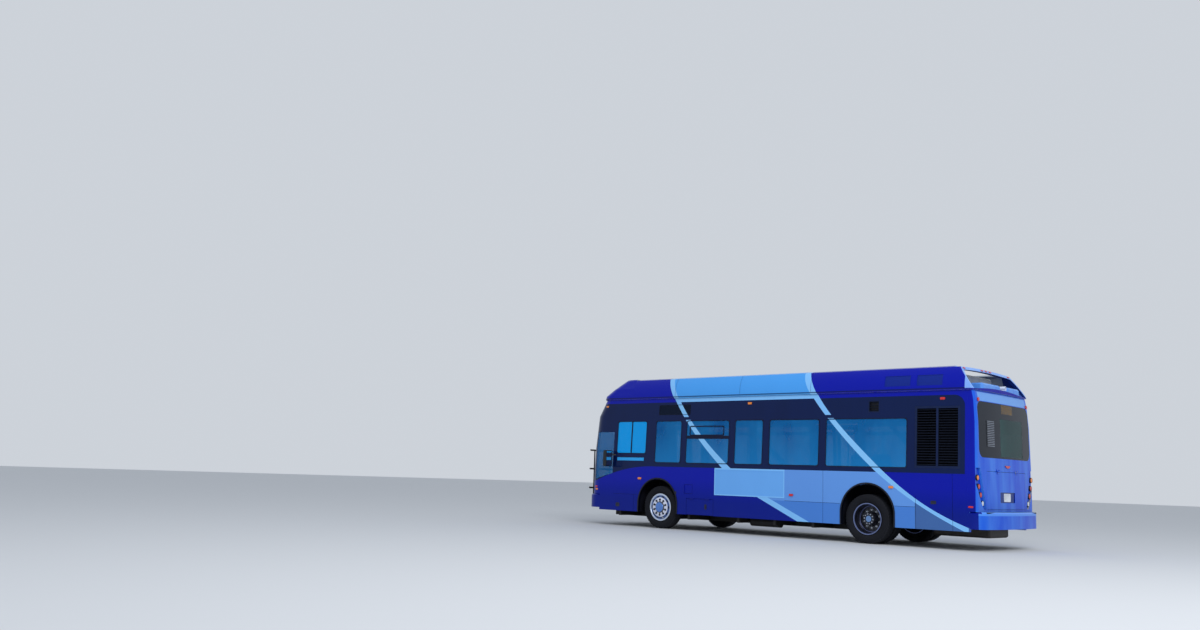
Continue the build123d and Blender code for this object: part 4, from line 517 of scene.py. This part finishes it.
def piece(name, surfaces, finish, body="body", replaces=None):
    """One closed mesh from several grids, which takes a finish and rides on a body. It may stand
    for a CAD node."""
    starts = np.cumsum([0] + [len(points) for points, quads in surfaces])
    points = np.concatenate([points for points, quads in surfaces])
    quads = np.concatenate([quads + start for (_, quads), start in zip(surfaces, starts)])
    mesh = bpy.data.meshes.new(name)
    mesh.from_pydata(points.tolist(), [], quads.tolist())
    tidy = bmesh.new()
    tidy.from_mesh(mesh)
    bmesh.ops.remove_doubles(tidy, verts=tidy.verts, dist=2e-5)
    bmesh.ops.dissolve_degenerate(tidy, edges=tidy.edges, dist=2e-5)
    bmesh.ops.recalc_face_normals(tidy, faces=tidy.faces)
    tidy.to_mesh(mesh)
    tidy.free()
    mesh.set_sharp_from_angle(angle=math.radians(38))
    mesh.materials.append(finish.material)
    made = linked(name, mesh)
    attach(made, body)
    if replaces:
        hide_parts(replaces)
    return made


def full_turn(count):
    """Even angles once round, as one row: a whole turn over their count apart."""
    return np.linspace(0, 2 * np.pi, count, endpoint=False)[None, :]


def power(value, exponent):
    """The size of a value raised to a power, with the value's own sign."""
    return np.sign(value) * np.abs(value) ** exponent


def loaf(size, corner=0.30, edge=0.55, rows=17, columns=36):
    """Rounded closed form. Its widths are the cosine of an angle up it to the edge power, times the
    cosine or sine of an angle round it to the corner power, and its height is the sine of the angle
    up it to the edge power, each times half the size."""
    upward = np.linspace(-np.pi / 2, np.pi / 2, rows)[:, None]
    round_angle = full_turn(columns)
    ring = power(np.cos(upward), edge)
    x = size[0] / 2 * ring * power(np.cos(round_angle), corner)
    y = size[1] / 2 * ring * power(np.sin(round_angle), corner)
    return together(x, y, size[2] / 2 * power(np.sin(upward), edge))


def stacked(rings, corner=0.22, columns=40):
    """Form closed at both ends from outlines (half length, half width, height): the half length
    times the cosine and the half width times the sine of an angle round it, to the corner power."""
    rings = np.array([(0, 0, rings[0][2]), *rings, (0, 0, rings[-1][2])])
    round_angle = full_turn(columns)
    x = rings[:, :1] * power(np.cos(round_angle), corner)
    y = rings[:, 1:2] * power(np.sin(round_angle), corner)
    return together(x, y, rings[:, 2:])


def mounted(rings, corner, axis, sign, centre):
    """Stacked form put in place, with its height along an axis and its length level."""
    form = stacked(rings, corner)
    x, y, z = form[..., 0], form[..., 1], sign * form[..., 2]
    placed = {0: (z, x, y), 1: (x, z, y), 2: (x, y, z)}[axis]
    return surface(together(*placed) + centre)


def turn_y(points, degrees):
    """Points turned about the Y axis, nose down for a positive angle."""
    cosine, sine = math.cos(math.radians(degrees)), math.sin(math.radians(degrees))
    x, z = points[..., 0], points[..., 2]
    return together(cosine * x + sine * z, points[..., 1], cosine * z - sine * x)


def foam_pad(size, pitch, depth, degrees, centre):
    """Foam pad: a rounded form with a crown of 6 mm that falls as the square of the distance from
    the middle, channels pressed across it where a cosine along it peaks, turned and put in place."""
    pad = loaf(size)
    along, across = pad[..., 0] / size[0] * 2, pad[..., 1] / size[1] * 2
    dip = depth * np.clip(np.cos(2 * np.pi * pad[..., 0] / pitch) - 0.55, 0, None) / 0.45
    pad[..., 2] += np.sign(pad[..., 2]) * (0.006 * (1 - along ** 2) * (1 - across ** 2) - dip)
    return turn_y(pad, degrees) + centre


moquette = Finish("seat_moquette", Sheen_Weight=0.4, Sheen_Roughness=0.4)
x, y, z = moquette.place()
fleck = moquette.noise(190.0, 2.0)
figure = moquette.noise(26.0, 1.0, (1.0, 1.0, 0.7)) > 0.56
weave = x.wave(1900.0) * (y + z).wave(1900.0)
cloth = moquette.mix(fleck, (30, 50, 118), (52, 74, 150))
cloth = moquette.mix(figure * 0.8, cloth, (84, 140, 204))
moquette.feed(Base_Color=cloth, Roughness=0.84 + fleck * 0.1)
moquette.relief(weave * 0.5 + fleck, 0.0006)
shell_plastic = grained("seat_shell_plastic", (84, 90, 102), (112, 118, 130), 0.45, 700.0)

# each row of seats as (where its front is, side, height of the floor it stands on)
seat_rows = [(front_axle_x - 1.25 - 0.76 * row, 1, 0.400) for row in range(4)]
seat_rows += [(front_axle_x - 1.25, -1, 0.400)]
seat_rows += [(rear_axle_x - 0.80 - 0.70 * row, -1, 1.130) for row in range(2)]
shell_line = np.array([(0.004, 0.384), (-0.05, 0.370), (-0.36, 0.360), (-0.424, 0.364), (-0.452, 0.430),
                       (-0.478, 0.600), (-0.503, 0.780), (-0.540, 0.985), (-0.536, 1.004)])
pedestal = [(0, 0, 0), (0.075, 0.300, 0.0005), (0.075, 0.300, 0.009), (0.034, 0.060, 0.022),
            (0.030, 0.050, 0.330), (0.060, 0.340, 0.352), (0.060, 0.340, 0.364)]


def seat_shell(place):
    """Moulded bucket: the shell line swept across the seat, its edges curled forward as the fourth
    power of the distance from the middle, and a second skin 6 mm ahead of it."""
    across = np.linspace(-1, 1, 11)[None, :]
    skin = together(shell_line[:, :1] + 0.014 * across ** 4, across * (seat_width / 2 - 0.002),
                    shell_line[:, 1:])
    skin = np.concatenate((skin, skin[::-1] + (0.006, 0, 0.006)))
    return surface(skin + place, wrap_rows=True, wrap_columns=False)


pads, shells, posts = [], [], []
for x, side, z in seat_rows:
    for seat in (0, 1):
        y = side * (wall_side - seat_width / 2 - seat * seat_pitch)
        pads.append(foam_pad((0.408, 0.420, 0.064), 0.130, 0.006, -1.6, (x - 0.204, y, z + 0.408)))
        pads.append(foam_pad((0.600, 0.420, 0.046), 0.150, 0.005, -99, (x - 0.459, y, z + 0.700)))
        shells.append(seat_shell((x, y, z)))
    y = side * (wall_side - seat_width - 0.006)
    posts.append(mounted(pedestal, 0.5, 2, 1, (x - 0.215, y, z)))
# two pairs over the rear wheel boxes face across the bus
for side in (1, -1):
    for seat in (-0.5, 0.5):
        x = rear_axle_x - 0.026 + seat * seat_pitch
        for size, degrees, centre in (((0.390, 0.420, 0.056), 1.5, (-0.200, 0, 1.135)),
                                      ((0.530, 0.420, 0.044), -94, (-0.417, 0, 1.430))):
            pad = foam_pad(size, 0.130, 0.005, degrees, centre)
            pads.append(together(x + pad[..., 1], side * (0.690 - pad[..., 0]), pad[..., 2]))
# the driver's seat stands on a post inside folded bellows
driver_x, driver_y = front_axle_x + 1.225, 0.640
pads.append(foam_pad((0.440, 0.470, 0.100), 0.300, 0.008, -1.5, (driver_x - 0.225, driver_y, 0.850)))
pads.append(foam_pad((0.640, 0.460, 0.090), 0.210, 0.008, -103, (driver_x - 0.488, driver_y, 1.190)))
bellows = [(reach, reach, 0.430 + 0.050 * fold) for fold, reach in enumerate([0.150, 0.162] * 3 + [0.150])]
driver_post = [(0.180, 0.180, 0.401), (0.180, 0.180, 0.412), *bellows, (0.200, 0.200, 0.772),
               (0.210, 0.215, 0.798)]
posts.append(mounted(driver_post, 0.35, 2, 1, (driver_x - 0.230, driver_y, 0)))
for number, points in enumerate(pads):
    pad = piece(f"seat_pad_{number:02d}", [surface(points)], moquette, replaces="seats")
piece("seat_shells", shells, shell_plastic, replaces="seats")
piece("seat_pedestals", posts, chassis, replaces="seats")

# Tyres: radial bus tyres with four straight grooves, notched shoulders and ribbed sidewalls.
# They are moulded rubber, pressed onto the rims, single in front and twin at the rear.
tread_half = 0.1175
tyre_half = 0.1375
tyre_radius = 0.466
hub_z = tyre_radius
wheel_mid = 1.1025
twin_pitch = 0.311


def arc(start, middle, end, count):
    """Points along the circle through three points, from the first to the last. As numbers in the
    complex plane, the ratio of the steps from the first point to the others gives its centre."""
    start, middle, end = (complex(*point) for point in (start, middle, end))
    ratio = (end - start) / (middle - start)
    centre = (middle - start) * (ratio - abs(ratio) ** 2) / (2j * ratio.imag) + start
    angles = np.unwrap(np.angle(np.array([start, middle, end]) - centre))
    line = centre + abs(start - centre) * np.exp(1j * np.linspace(angles[0], angles[2], count))
    return together(line.real, line.imag)


def tyre(axle_x, middle_y, columns=260):
    """Tyre: a closed section of (distance from its middle plane, radius) rows turned round the axle.
    Rows inside a groove drop by its depth, and the shoulder rows drop where a square wave is up."""
    groove = np.array([-0.066, -0.022, 0.022, 0.066])[:, None]
    lips = (groove + (-0.0052, 0.0052)).ravel()
    beds = (groove + (-0.0034, 0.0034)).ravel()
    ribs = np.array([-0.112, -0.100, -0.088, -0.044, 0.0, 0.044, 0.088, 0.100, 0.112])
    rows = np.concatenate((lips, beds, ribs))
    drops = np.concatenate((lips * 0, beds * 0 + 0.012, ribs * 0))
    order = np.argsort(rows)
    rows, drops = rows[order], drops[order]
    crown = together(rows, tyre_radius - 0.007 * (rows / tread_half) ** 2 - drops)
    wall_line = arc((tread_half, tyre_radius - 0.007), (tyre_half, 0.388), (0.103, 0.305), 11)
    bead = np.array([(0.103, 0.2905), (-0.103, 0.2905)])
    section = np.concatenate((crown, wall_line, bead, wall_line[::-1] * (-1, 1)))
    across, radius = section[:, :1], section[:, 1:]
    wave = np.array([0.0, 0.0, 0.0, 1.0, 1.0])[np.arange(columns) % 5][None, :]
    shoulder = np.clip((np.abs(across) - 0.080) / 0.010, 0, 1) * (radius > 0.446)
    lip_rows = (np.abs(across) < 0.075) * (radius > 0.457)
    radius = radius - 0.009 * shoulder * wave - 0.003 * lip_rows * np.roll(wave, 2, axis=1)
    angle = full_turn(columns)
    points = together(axle_x + radius * np.sin(angle), middle_y + across, hub_z + radius * np.cos(angle))
    return surface(points, wrap_rows=True)


def wheel_angle(x, z):
    """Angle round the wheel's hub and distance from it, whichever axle the place is nearer to: the
    arc tangent of the run over the rise, and the root of the sum of their squares."""
    front = x > (front_axle_x + rear_axle_x) / 2
    along = x - (front * (front_axle_x - rear_axle_x) + rear_axle_x)
    rise = z - hub_z
    return along.maths("ARCTAN2", rise), (along * along + rise * rise).maths("SQRT")


tread = Finish("tyre_rubber", Specular_IOR_Level=0.25)
x, y, z = tread.place()
angle, reach = wheel_angle(x, z)
dust = tread.noise(6.0, 5.0)
ridges = angle.wave(220.0) * band(reach, 0.400, 0.435)
steps = reach.wave(700.0) * band(reach, 0.315, 0.395)
colour = tread.mix(dust, (8, 10, 18), (24, 26, 34))
colour = tread.mix((reach > 0.450) * 0.45, colour, (44, 46, 54))
tread.feed(Base_Color=colour, Roughness=0.72 + dust * 0.2)
tread.relief(ridges * 0.5 + steps * 0.4, 0.0010)
for body, node, axle_x, side, count in (
        ("wheel_fl", "tyre_front_left", front_axle_x, 1, 1),
        ("wheel_fr", "tyre_front_right", front_axle_x, -1, 1),
        ("wheel_rl", "tyres_rear_left", rear_axle_x, 1, 2),
        ("wheel_rr", "tyres_rear_right", rear_axle_x, -1, 2)):
    rings = [tyre(axle_x, side * (wheel_mid - number * twin_pitch)) for number in range(count)]
    piece(node + "_tread", rings, tread, body, node)

# Rims: forged alloy discs with round hand holes in front, and painted discs behind that are deep
# set. Ten hexagonal flange nuts hold each one to its hub, and a ring of bolts holds the axle shaft.
def turned(profile, centre, axis, columns=32):
    """Surface of revolution: (reach, radius) rows swept round an axis through the centre, by the
    radius times the cosine and the sine of an angle."""
    profile = np.array(profile)
    angle = full_turn(columns)
    points = np.zeros((len(profile), columns, 3))
    points[..., axis] = profile[:, :1]
    points[..., (axis + 1) % 3] = profile[:, 1:] * np.cos(angle)
    points[..., (axis + 2) % 3] = profile[:, 1:] * np.sin(angle)
    return surface(points + centre)


def nut_ring(axle_x, side, base, radius, size, start=0.0):
    """Ring of ten flange nuts: each has a round flange, a hexagon whose radius is the flat distance
    over the cosine of the angle from the middle of a flat, and a stud with a rounded end."""
    angle = full_turn(24)
    hexagon = 1 / np.cos((angle + np.pi / 6) % (np.pi / 3) - np.pi / 6)
    # rows of (height, radius, 1 where the outline is the hexagon)
    rows = np.array([(0, 0, 0), (0, 1.30, 0), (0.14, 1.30, 0), (0.22, 1.02, 0), (0.22, 0.94, 1),
                     (0.95, 0.94, 1), (1.10, 0.78, 1), (1.10, 0.52, 0), (1.38, 0.50, 0), (1.45, 0.36, 0),
                     (1.45, 0, 0)])
    reach = rows[:, 1:2] * size * np.where(rows[:, 2:] > 0, hexagon, 1.0)
    made = []
    for place in start + np.arange(10) * 2 * np.pi / 10:
        nut = together(axle_x + radius * math.sin(place) + reach * np.cos(angle),
                       side * (wheel_mid + base + rows[:, :1] * size * 1.15),
                       hub_z + radius * math.cos(place) + reach * np.sin(angle))
        made.append(surface(nut))
    return made


def rim_finish(name, colour, worn, metallic, rings):
    """Wheel metal with rings of (inner radius, outer radius, colour), a painted shadow that reaches
    from the hub towards each nut where the cosine of ten times the angle peaks, and turning marks."""
    finish = Finish(name)
    x, y, z = finish.place()
    angle, reach = wheel_angle(x, z)
    grime = finish.noise(16.0, 4.0)
    nut_shadow = 0.124 + (angle * 10.0).maths("COSINE").maths("MAXIMUM", 0.0) * 0.036
    nut_shadow = (reach < nut_shadow) * (reach > 0.106)
    shade = finish.layers(finish.mix(grime, colour, worn),
                          *((band(reach, low, high), tint) for low, high, tint in rings),
                          (nut_shadow * 0.9, (10, 12, 26)))
    finish.feed(Base_Color=shade, Roughness=0.20 + grime * 0.22 + nut_shadow * 0.3,
                Metallic=metallic - band(reach, 0.106, 0.214) * metallic * 0.8)
    finish.relief(reach.wave(2400.0) * 0.5, 0.00012)
    return finish


# front rims: a blue hub; the face round the nuts white with little metal, a painted reflection of the
# polished alloy; a band painted darker as shade over the hand holes; and a silver lip
dress(rim_finish("polished_alloy", (232, 236, 250), (206, 212, 234), 0.85, (
    (0.0, 0.106, (104, 146, 220)), (0.214, 0.262, (84, 108, 160)), (0.262, 0.40, (214, 224, 242)))),
    "rim_front_left", "rim_front_right")
dress(rim_finish("dull_wheel", (20, 24, 38), (52, 54, 66), 0.6, (
    (0.0, 0.058, (110, 146, 196)), (0.058, 0.120, (30, 34, 50)), (0.240, 0.257, (96, 104, 150)),
    (0.276, 0.40, (112, 124, 166)))), "rims_rear_left", "rims_rear_right")
bright_nut = grained("bright_nut", (214, 218, 226), (150, 156, 168), 0.24, 400.0, 0.0001, Metallic=0.7)
# the front nuts are near black as painted shade; the rear ones are bright
nut_painted_shade = grained("nut_painted_shade", (14, 16, 28), (34, 38, 52), 0.4, 400.0, 0.0001, Metallic=0.4)
for end, side in (("l", 1), ("r", -1)):
    nuts = nut_ring(front_axle_x, side, 0.1325, 0.1675, 0.0180)
    piece(f"wheel_f{end}_nuts", nuts, nut_painted_shade, "wheel_f" + end)
for end, side in (("l", 1), ("r", -1)):
    nuts = nut_ring(rear_axle_x, side, -0.0640, 0.1675, 0.0165)
    nuts += nut_ring(rear_axle_x, side, 0.0615, 0.0900, 0.0100, 0.2)
    piece(f"wheel_r{end}_nuts", nuts, bright_nut, "wheel_r" + end)

# Lamps: moulded lenses with stepped rings in dark plastic rims, screwed into the shell.
# Round tail lamps stand in a slanting row in each crescent; small lamps mark the body's edges.
cover = Finish("clear_lens", Coat_Weight=1.0, Coat_Roughness=0.03)
x, y, z = cover.place()
outer_lamp = abs(y) > 0.785
across = abs(y) - (outer_lamp * 0.190 + 0.690)
rise = z - 0.880
reach = (across * across + rise * rise).maths("SQRT")
haze = cover.noise(8.0, 3.0)
colour = cover.mix(haze, (206, 214, 226), (170, 180, 196))
colour = cover.layers(colour, (reach < 0.030, (60, 72, 92)), (reach > 0.074, (20, 22, 28)))
cover.feed(Base_Color=colour, Roughness=0.10 + haze * 0.08, Metallic=band(reach, 0.030, 0.074) * 0.8)
cover.relief(reach.wave(900.0) * 0.5, 0.0006)
dress(cover, "headlamps")
tail_row = [(1.221, 1.300), (1.183, 1.143), (1.113, 0.995), (1.037, 0.845)]
tail_lens = Finish("tail_lens", Coat_Weight=0.6, Coat_Roughness=0.05)
x, y, z = tail_lens.place()
haze = tail_lens.noise(30.0, 3.0)
colour = tail_lens.layers(
    tail_lens.mix(haze, (214, 22, 26), (176, 10, 16)),
    (band(z, 1.225, 1.400), (246, 132, 24)), (z < 0.915, (214, 222, 234)))
tail_lens.feed(Base_Color=colour, Roughness=0.12 + haze * 0.08)
tail_lens.relief(z.wave(1400.0) * 0.5, 0.0005)
dress(tail_lens, "tail_lamps")
lamp_face_x = rear_face_x + 0.062 - 0.0003 - 0.030
dome_line = [(0.002, 0), (0.002, 0.040), (-0.001, 0.040), (-0.003, 0.034), (-0.0022, 0.030),
             (-0.0045, 0.022), (-0.0038, 0.018), (-0.0055, 0.008), (-0.0055, 0)]
rim_line = [(0.029, 0.0455), (0.029, 0.052), (0.002, 0.050), (-0.0015, 0.0475), (-0.0015, 0.0440),
            (0.000, 0.0420), (0.000, 0.0455), (0.029, 0.0455)]
lamp_middles = [(lamp_face_x, side * y, z) for side in (1, -1) for y, z in tail_row]
domes = [turned(dome_line, middle, 0) for middle in lamp_middles]
rims = [turned(rim_line, middle, 0) for middle in lamp_middles]
piece("tail_lamp_domes", domes, tail_lens)
piece("tail_lamp_rims", rims, black_plastic)
marker = Finish("marker_lens", Coat_Weight=0.6, Coat_Roughness=0.05)
x, y, z = marker.place()
haze = marker.noise(60.0, 2.0)
red = (x < rear_axle_x - 0.8) + band(x, rear_axle_x + 1.5, rear_axle_x + 1.8) * (z < 1.0) > 0.5
red = red + (x > 4.2) * band(z, 0.84, 1.00) > 0.5
colour = marker.mix(red, marker.mix(haze, (250, 150, 40), (222, 112, 16)),
                    marker.mix(haze, (226, 26, 30), (182, 12, 18)))
marker.feed(Base_Color=colour, Roughness=0.14 + haze * 0.08)
marker.relief(x.wave(1500.0) * 0.5, 0.0004)
dress(marker, "marker_lamps")

# Corner lamps: small amber and red lenses on the curved corners of the front, over the gutter of
# the bumper and under the roof. They are clipped into moulded cups in the corner panels.
corners = []
for side in (1, -1):
    for degrees, centre in ((-6.5, (4.172, 1.2095, 2.724)), (-15.0, (4.403, 1.2625, 0.865)),
                            (-12.0, (4.385, 1.2665, 0.805))):
        lens = stacked([(0.040, 0.019, -0.003), (0.040, 0.019, 0.006), (0.034, 0.014, 0.010)], 0.35)
        cosine, sine = math.cos(math.radians(degrees)), math.sin(math.radians(degrees))
        x, y = lens[..., 0] * cosine - lens[..., 2] * sine, lens[..., 0] * sine + lens[..., 2] * cosine
        lens = together(x + centre[0], side * (y + centre[1]), lens[..., 1] + centre[2])
        corners.append(surface(lens))
piece("front_corner_lamps", corners, marker)

# Gap filler: a flexible black strip that closes the joint between the rear bumper and the body.
# It is extruded rubber, clipped to the body's lower edge and bent to its curve.
def filler(outer_x, inner_x, low, high, half, radius):
    """Closed bar: a rectangle swept across the bus, set forward by the square of the distance from
    the middle over twice the bumper's radius, with its ends drawn to a point."""
    corner_points = np.array([(outer_x, high), (outer_x, low), (inner_x, low), (inner_x, high)])
    y = np.linspace(-half, half, 25)
    y = np.concatenate((y[:1], y, y[-1:]))[None, :]
    shrink = np.concatenate(([0.0], np.ones(25), [0.0]))[None, :]
    middle = corner_points.mean(axis=0)
    x = middle[0] + (corner_points[:, :1] - middle[0]) * shrink + y ** 2 / (2 * radius)
    z = middle[1] + (corner_points[:, 1:] - middle[1]) * shrink
    return surface(together(x, y, z), wrap_rows=True, wrap_columns=False)


piece("bumper_fillers", [filler(-4.970, -4.800, 0.672, 0.690, 1.110, 24.0)], rubber)

# Small fittings on the outside: a blank plate in the engine door's recess, the battery flap's
# latch, port covers on the left side, a foam filter behind the small vent and red reflectors.
blank_plate = grained("blank_plate", (226, 230, 236), (198, 206, 218), 0.4, 200.0)
plate_x = rear_face_x + 0.014
plate = [mounted([
    (0.152, 0.076, 0), (0.152, 0.076, 0.0015), (0.150, 0.074, 0.0028), (0.146, 0.070, 0.0028),
    (0.144, 0.068, 0.0016)], 0.16, 0, -1, (plate_x - 0.0005, 0, 0.955))]
for across in (-0.10, 0.10):
    screw = [(0, 0), (0, 0.007), (-0.002, 0.007), (-0.0045, 0.004), (-0.0045, 0)]
    plate.append(turned(screw, (plate_x - 0.0016, across, 1.010), 0, 12))
piece("rear_plate", plate, blank_plate, "engine_lid")
port_cover = grained("port_cover", (8, 12, 36), (20, 26, 60), 0.5, 300.0)
ports = []
for length, width, corner, x, z in ((0.060, 0.046, 0.5, 3.710, 0.475), (0.055, 0.032, 0.25, -4.000, 0.830),
                                    (0.020, 0.034, 0.4, 2.010, 0.800)):
    rings = [(length, width, 0), (length, width, 0.003), (length - 0.008, width - 0.008, 0.004),
             (length - 0.012, width - 0.012, 0.001)]
    ports.append(mounted(rings, corner, 1, 1, (x, half_width, z)))
piece("side_ports", ports, port_cover)
vent_filter = mounted([(0.1195, 0.1145, 0), (0.1195, 0.1145, 0.012)], 0.1, 1, -1,
                      (rear_axle_x - 0.150, 1.178, 2.605))
piece("vent_filter", [vent_filter], black_plastic)
latch = mounted([
    (0.030, 0.055, 0), (0.030, 0.055, 0.003), (0.024, 0.049, 0.004), (0.020, 0.045, 0.001),
    (0.010, 0.030, 0.001), (0.010, 0.030, 0.005), (0.006, 0.024, 0.007)],
    0.35, 1, 1, (1.183, half_width, 0.524))
piece("battery_flap_latch", [latch], port_cover, "battery_lid")
reflectors = [mounted([(0.045, 0.016, 0), (0.045, 0.016, 0.004), (0.040, 0.011, 0.006)], 0.2, 1, side,
                      (-4.705, side * half_width, 0.778)) for side in (1, -1)]
piece("side_reflectors", reflectors, marker)

# Roof equipment: pressed housings, with fans under wire guards on the cooling unit and ribs on the
# battery pack. The rear housings are painted blue, and a white air pipe runs between them.
units = Finish("roof_unit_paint", Coat_Weight=0.2, Coat_Roughness=0.1)
x, y, z = units.place()
soot = units.noise(5.0, 5.0)
rear_part = x < rear_axle_x - 1.74
pipe = rear_part * band(y, -0.375, -0.285) * (z > 2.975)
colour = units.layers(
    units.mix(soot, (150, 156, 164), (116, 122, 130)),
    (rear_part, units.mix(soot, (96, 170, 248), (60, 120, 220))), (pipe, (214, 224, 244)))
units.feed(Base_Color=colour, Roughness=0.34 + soot * 0.2)
units.relief(units.noise(90.0, 2.0), 0.0005)
dress(units, "roof_units")
dress(grained("hatch_grey", (186, 192, 200), (150, 156, 166), 0.45, 90.0, 0.0005), "hatch_front",
      "hatch_rear")
shrouds, guards, blades = [], [], []
for x in (rear_axle_x - 1.20, rear_axle_x - 0.20):
    top = (x, 0, 3.2302)
    hoop_line = [(0, 0.300), (0.034, 0.296), (0.038, 0.290), (0.038, 0.276), (0.034, 0.272), (0, 0.268),
                 (0, 0.300)]
    shrouds.append(turned(hoop_line, top, 2, 64))
    bend = np.linspace(0, 2 * np.pi, 9)
    for ring in (0.080, 0.130, 0.180, 0.230):
        wire = together(0.032 + 0.003 * np.sin(bend), ring + 0.003 * np.cos(bend))
        guards.append(turned(wire, top, 2, 64))
    # seven blades, each rising evenly over its seventh of a turn
    radius = np.linspace(0.040, 0.262, 10)[:, None]
    sweep = full_turn(98)
    rise = 0.006 + 0.014 * ((sweep * 7 / (2 * np.pi)) % 1.0)
    blade = together(radius * np.cos(sweep), radius * np.sin(sweep), rise)
    under = blade * (1, 1, 0) + (0, 0, 0.002)
    blade = np.concatenate((blade, under[::-1])) + top
    blades.append(surface(blade, wrap_rows=True))
piece("fan_shrouds", shrouds, units)
piece("fan_guards", guards, satin)
piece("fan_blades", blades, black_plastic)
ribs = [mounted([(0.045, 0.470, 0), (0.043, 0.468, 0.010), (0.034, 0.459, 0.016), (0, 0, 0.017)], 0.2, 2, 1,
                (x, 0, 3.1602)) for x in np.linspace(-0.18, 0.92, 6)]
piece("battery_ribs", ribs, units)

# Inside fittings: moulded ceiling light lenses, clamps where the stanchions meet the rails, and
# the driver's instruments, all screwed to the ceiling, the rails and the dashboard.
light_lens = grained("light_lens", (240, 242, 244), (222, 226, 232), 0.3, 200.0, 0.0003)
lens_rings = [(0.600, 0.095, 0), (0.600, 0.095, 0.008), (0.580, 0.080, 0.026), (0.540, 0.050, 0.034),
              (0, 0, 0.036)]
lenses = [mounted(lens_rings, 0.2, 2, -1, (x, side * 0.620, 2.902))
          for x in (-3.40, -2.05, -0.70, 0.65, 2.00, 3.10) for side in (1, -1)]
piece("ceiling_lights", lenses, light_lens)
clamp = loaf((0.058, 0.052, 0.062), 0.6, 0.6, 9, 20)
left_rail_x = [-2.170, -1.670, 1.180, 0.420, 3.040]
right_rail_x = [-2.170, -1.670, 1.180, 0.160, 3.040]
clamps = [surface(clamp + (x, side * 0.262, 2.150))
          for pair in zip(left_rail_x, right_rail_x) for x, side in zip(pair, (1, -1))]
piece("rail_clamps", clamps, shell_plastic)
dial = grained("dial_face", (10, 12, 16), (34, 38, 46), 0.2, 600.0, 0.0001, Coat_Weight=0.5)
dials = []
for across, size in ((0.555, 0.052), (0.680, 0.052), (0.618, 0.022), (0.780, 0.030), (0.450, 0.030)):
    gauge = stacked([(size, size, 0), (size, size, 0.008), (size - 0.006, size - 0.006, 0.009),
                     (size - 0.008, size - 0.008, 0.003)], 1.0, 32)
    gauge = turn_y(gauge, -45) + (4.080, across, 1.0405)
    dials.append(surface(gauge))
piece("driver_dials", dials, dial)

# Studio: a plain pale floor and backdrop, and soft even light from all round with one broad lamp.
# The floor is a matt sheet, and the surround is one even pale colour in every direction.
floor_mesh = bpy.data.meshes.new("studio_floor")
reach = 120.0
floor_mesh.from_pydata([(-reach, -reach, 0), (reach, -reach, 0), (reach, reach, 0), (-reach, reach, 0)],
                       [], [(0, 1, 2, 3)])
studio_floor = linked("studio_floor", floor_mesh)
floor_finish = Finish("studio_floor", Specular_IOR_Level=0.1)
floor_finish.feed(Base_Color=(205, 208, 212), Roughness=0.9)
floor_mesh.materials.append(floor_finish.material)

world = bpy.data.worlds.new("studio_world")
bpy.context.scene.world = world
world.use_nodes = True
background = world.node_tree.nodes["Background"]
background.inputs["Color"].default_value = srgb(226, 232, 240)
background.inputs["Strength"].default_value = 0.80

lamp = linked("broad_lamp", bpy.data.lights.new("broad_lamp", "AREA"))
lamp.data.shape = "RECTANGLE"
lamp.data.size, lamp.data.size_y = 14, 8
lamp.data.energy = 2600
spot = Vector((-16, 13, 15))
aim = (Vector((0, 0, 1)) - spot).to_track_quat("-Z", "Y").to_matrix().to_4x4()
lamp.matrix_world = Matrix.Translation(spot) @ aim

bpy.context.scene.view_settings.view_transform = "Standard"
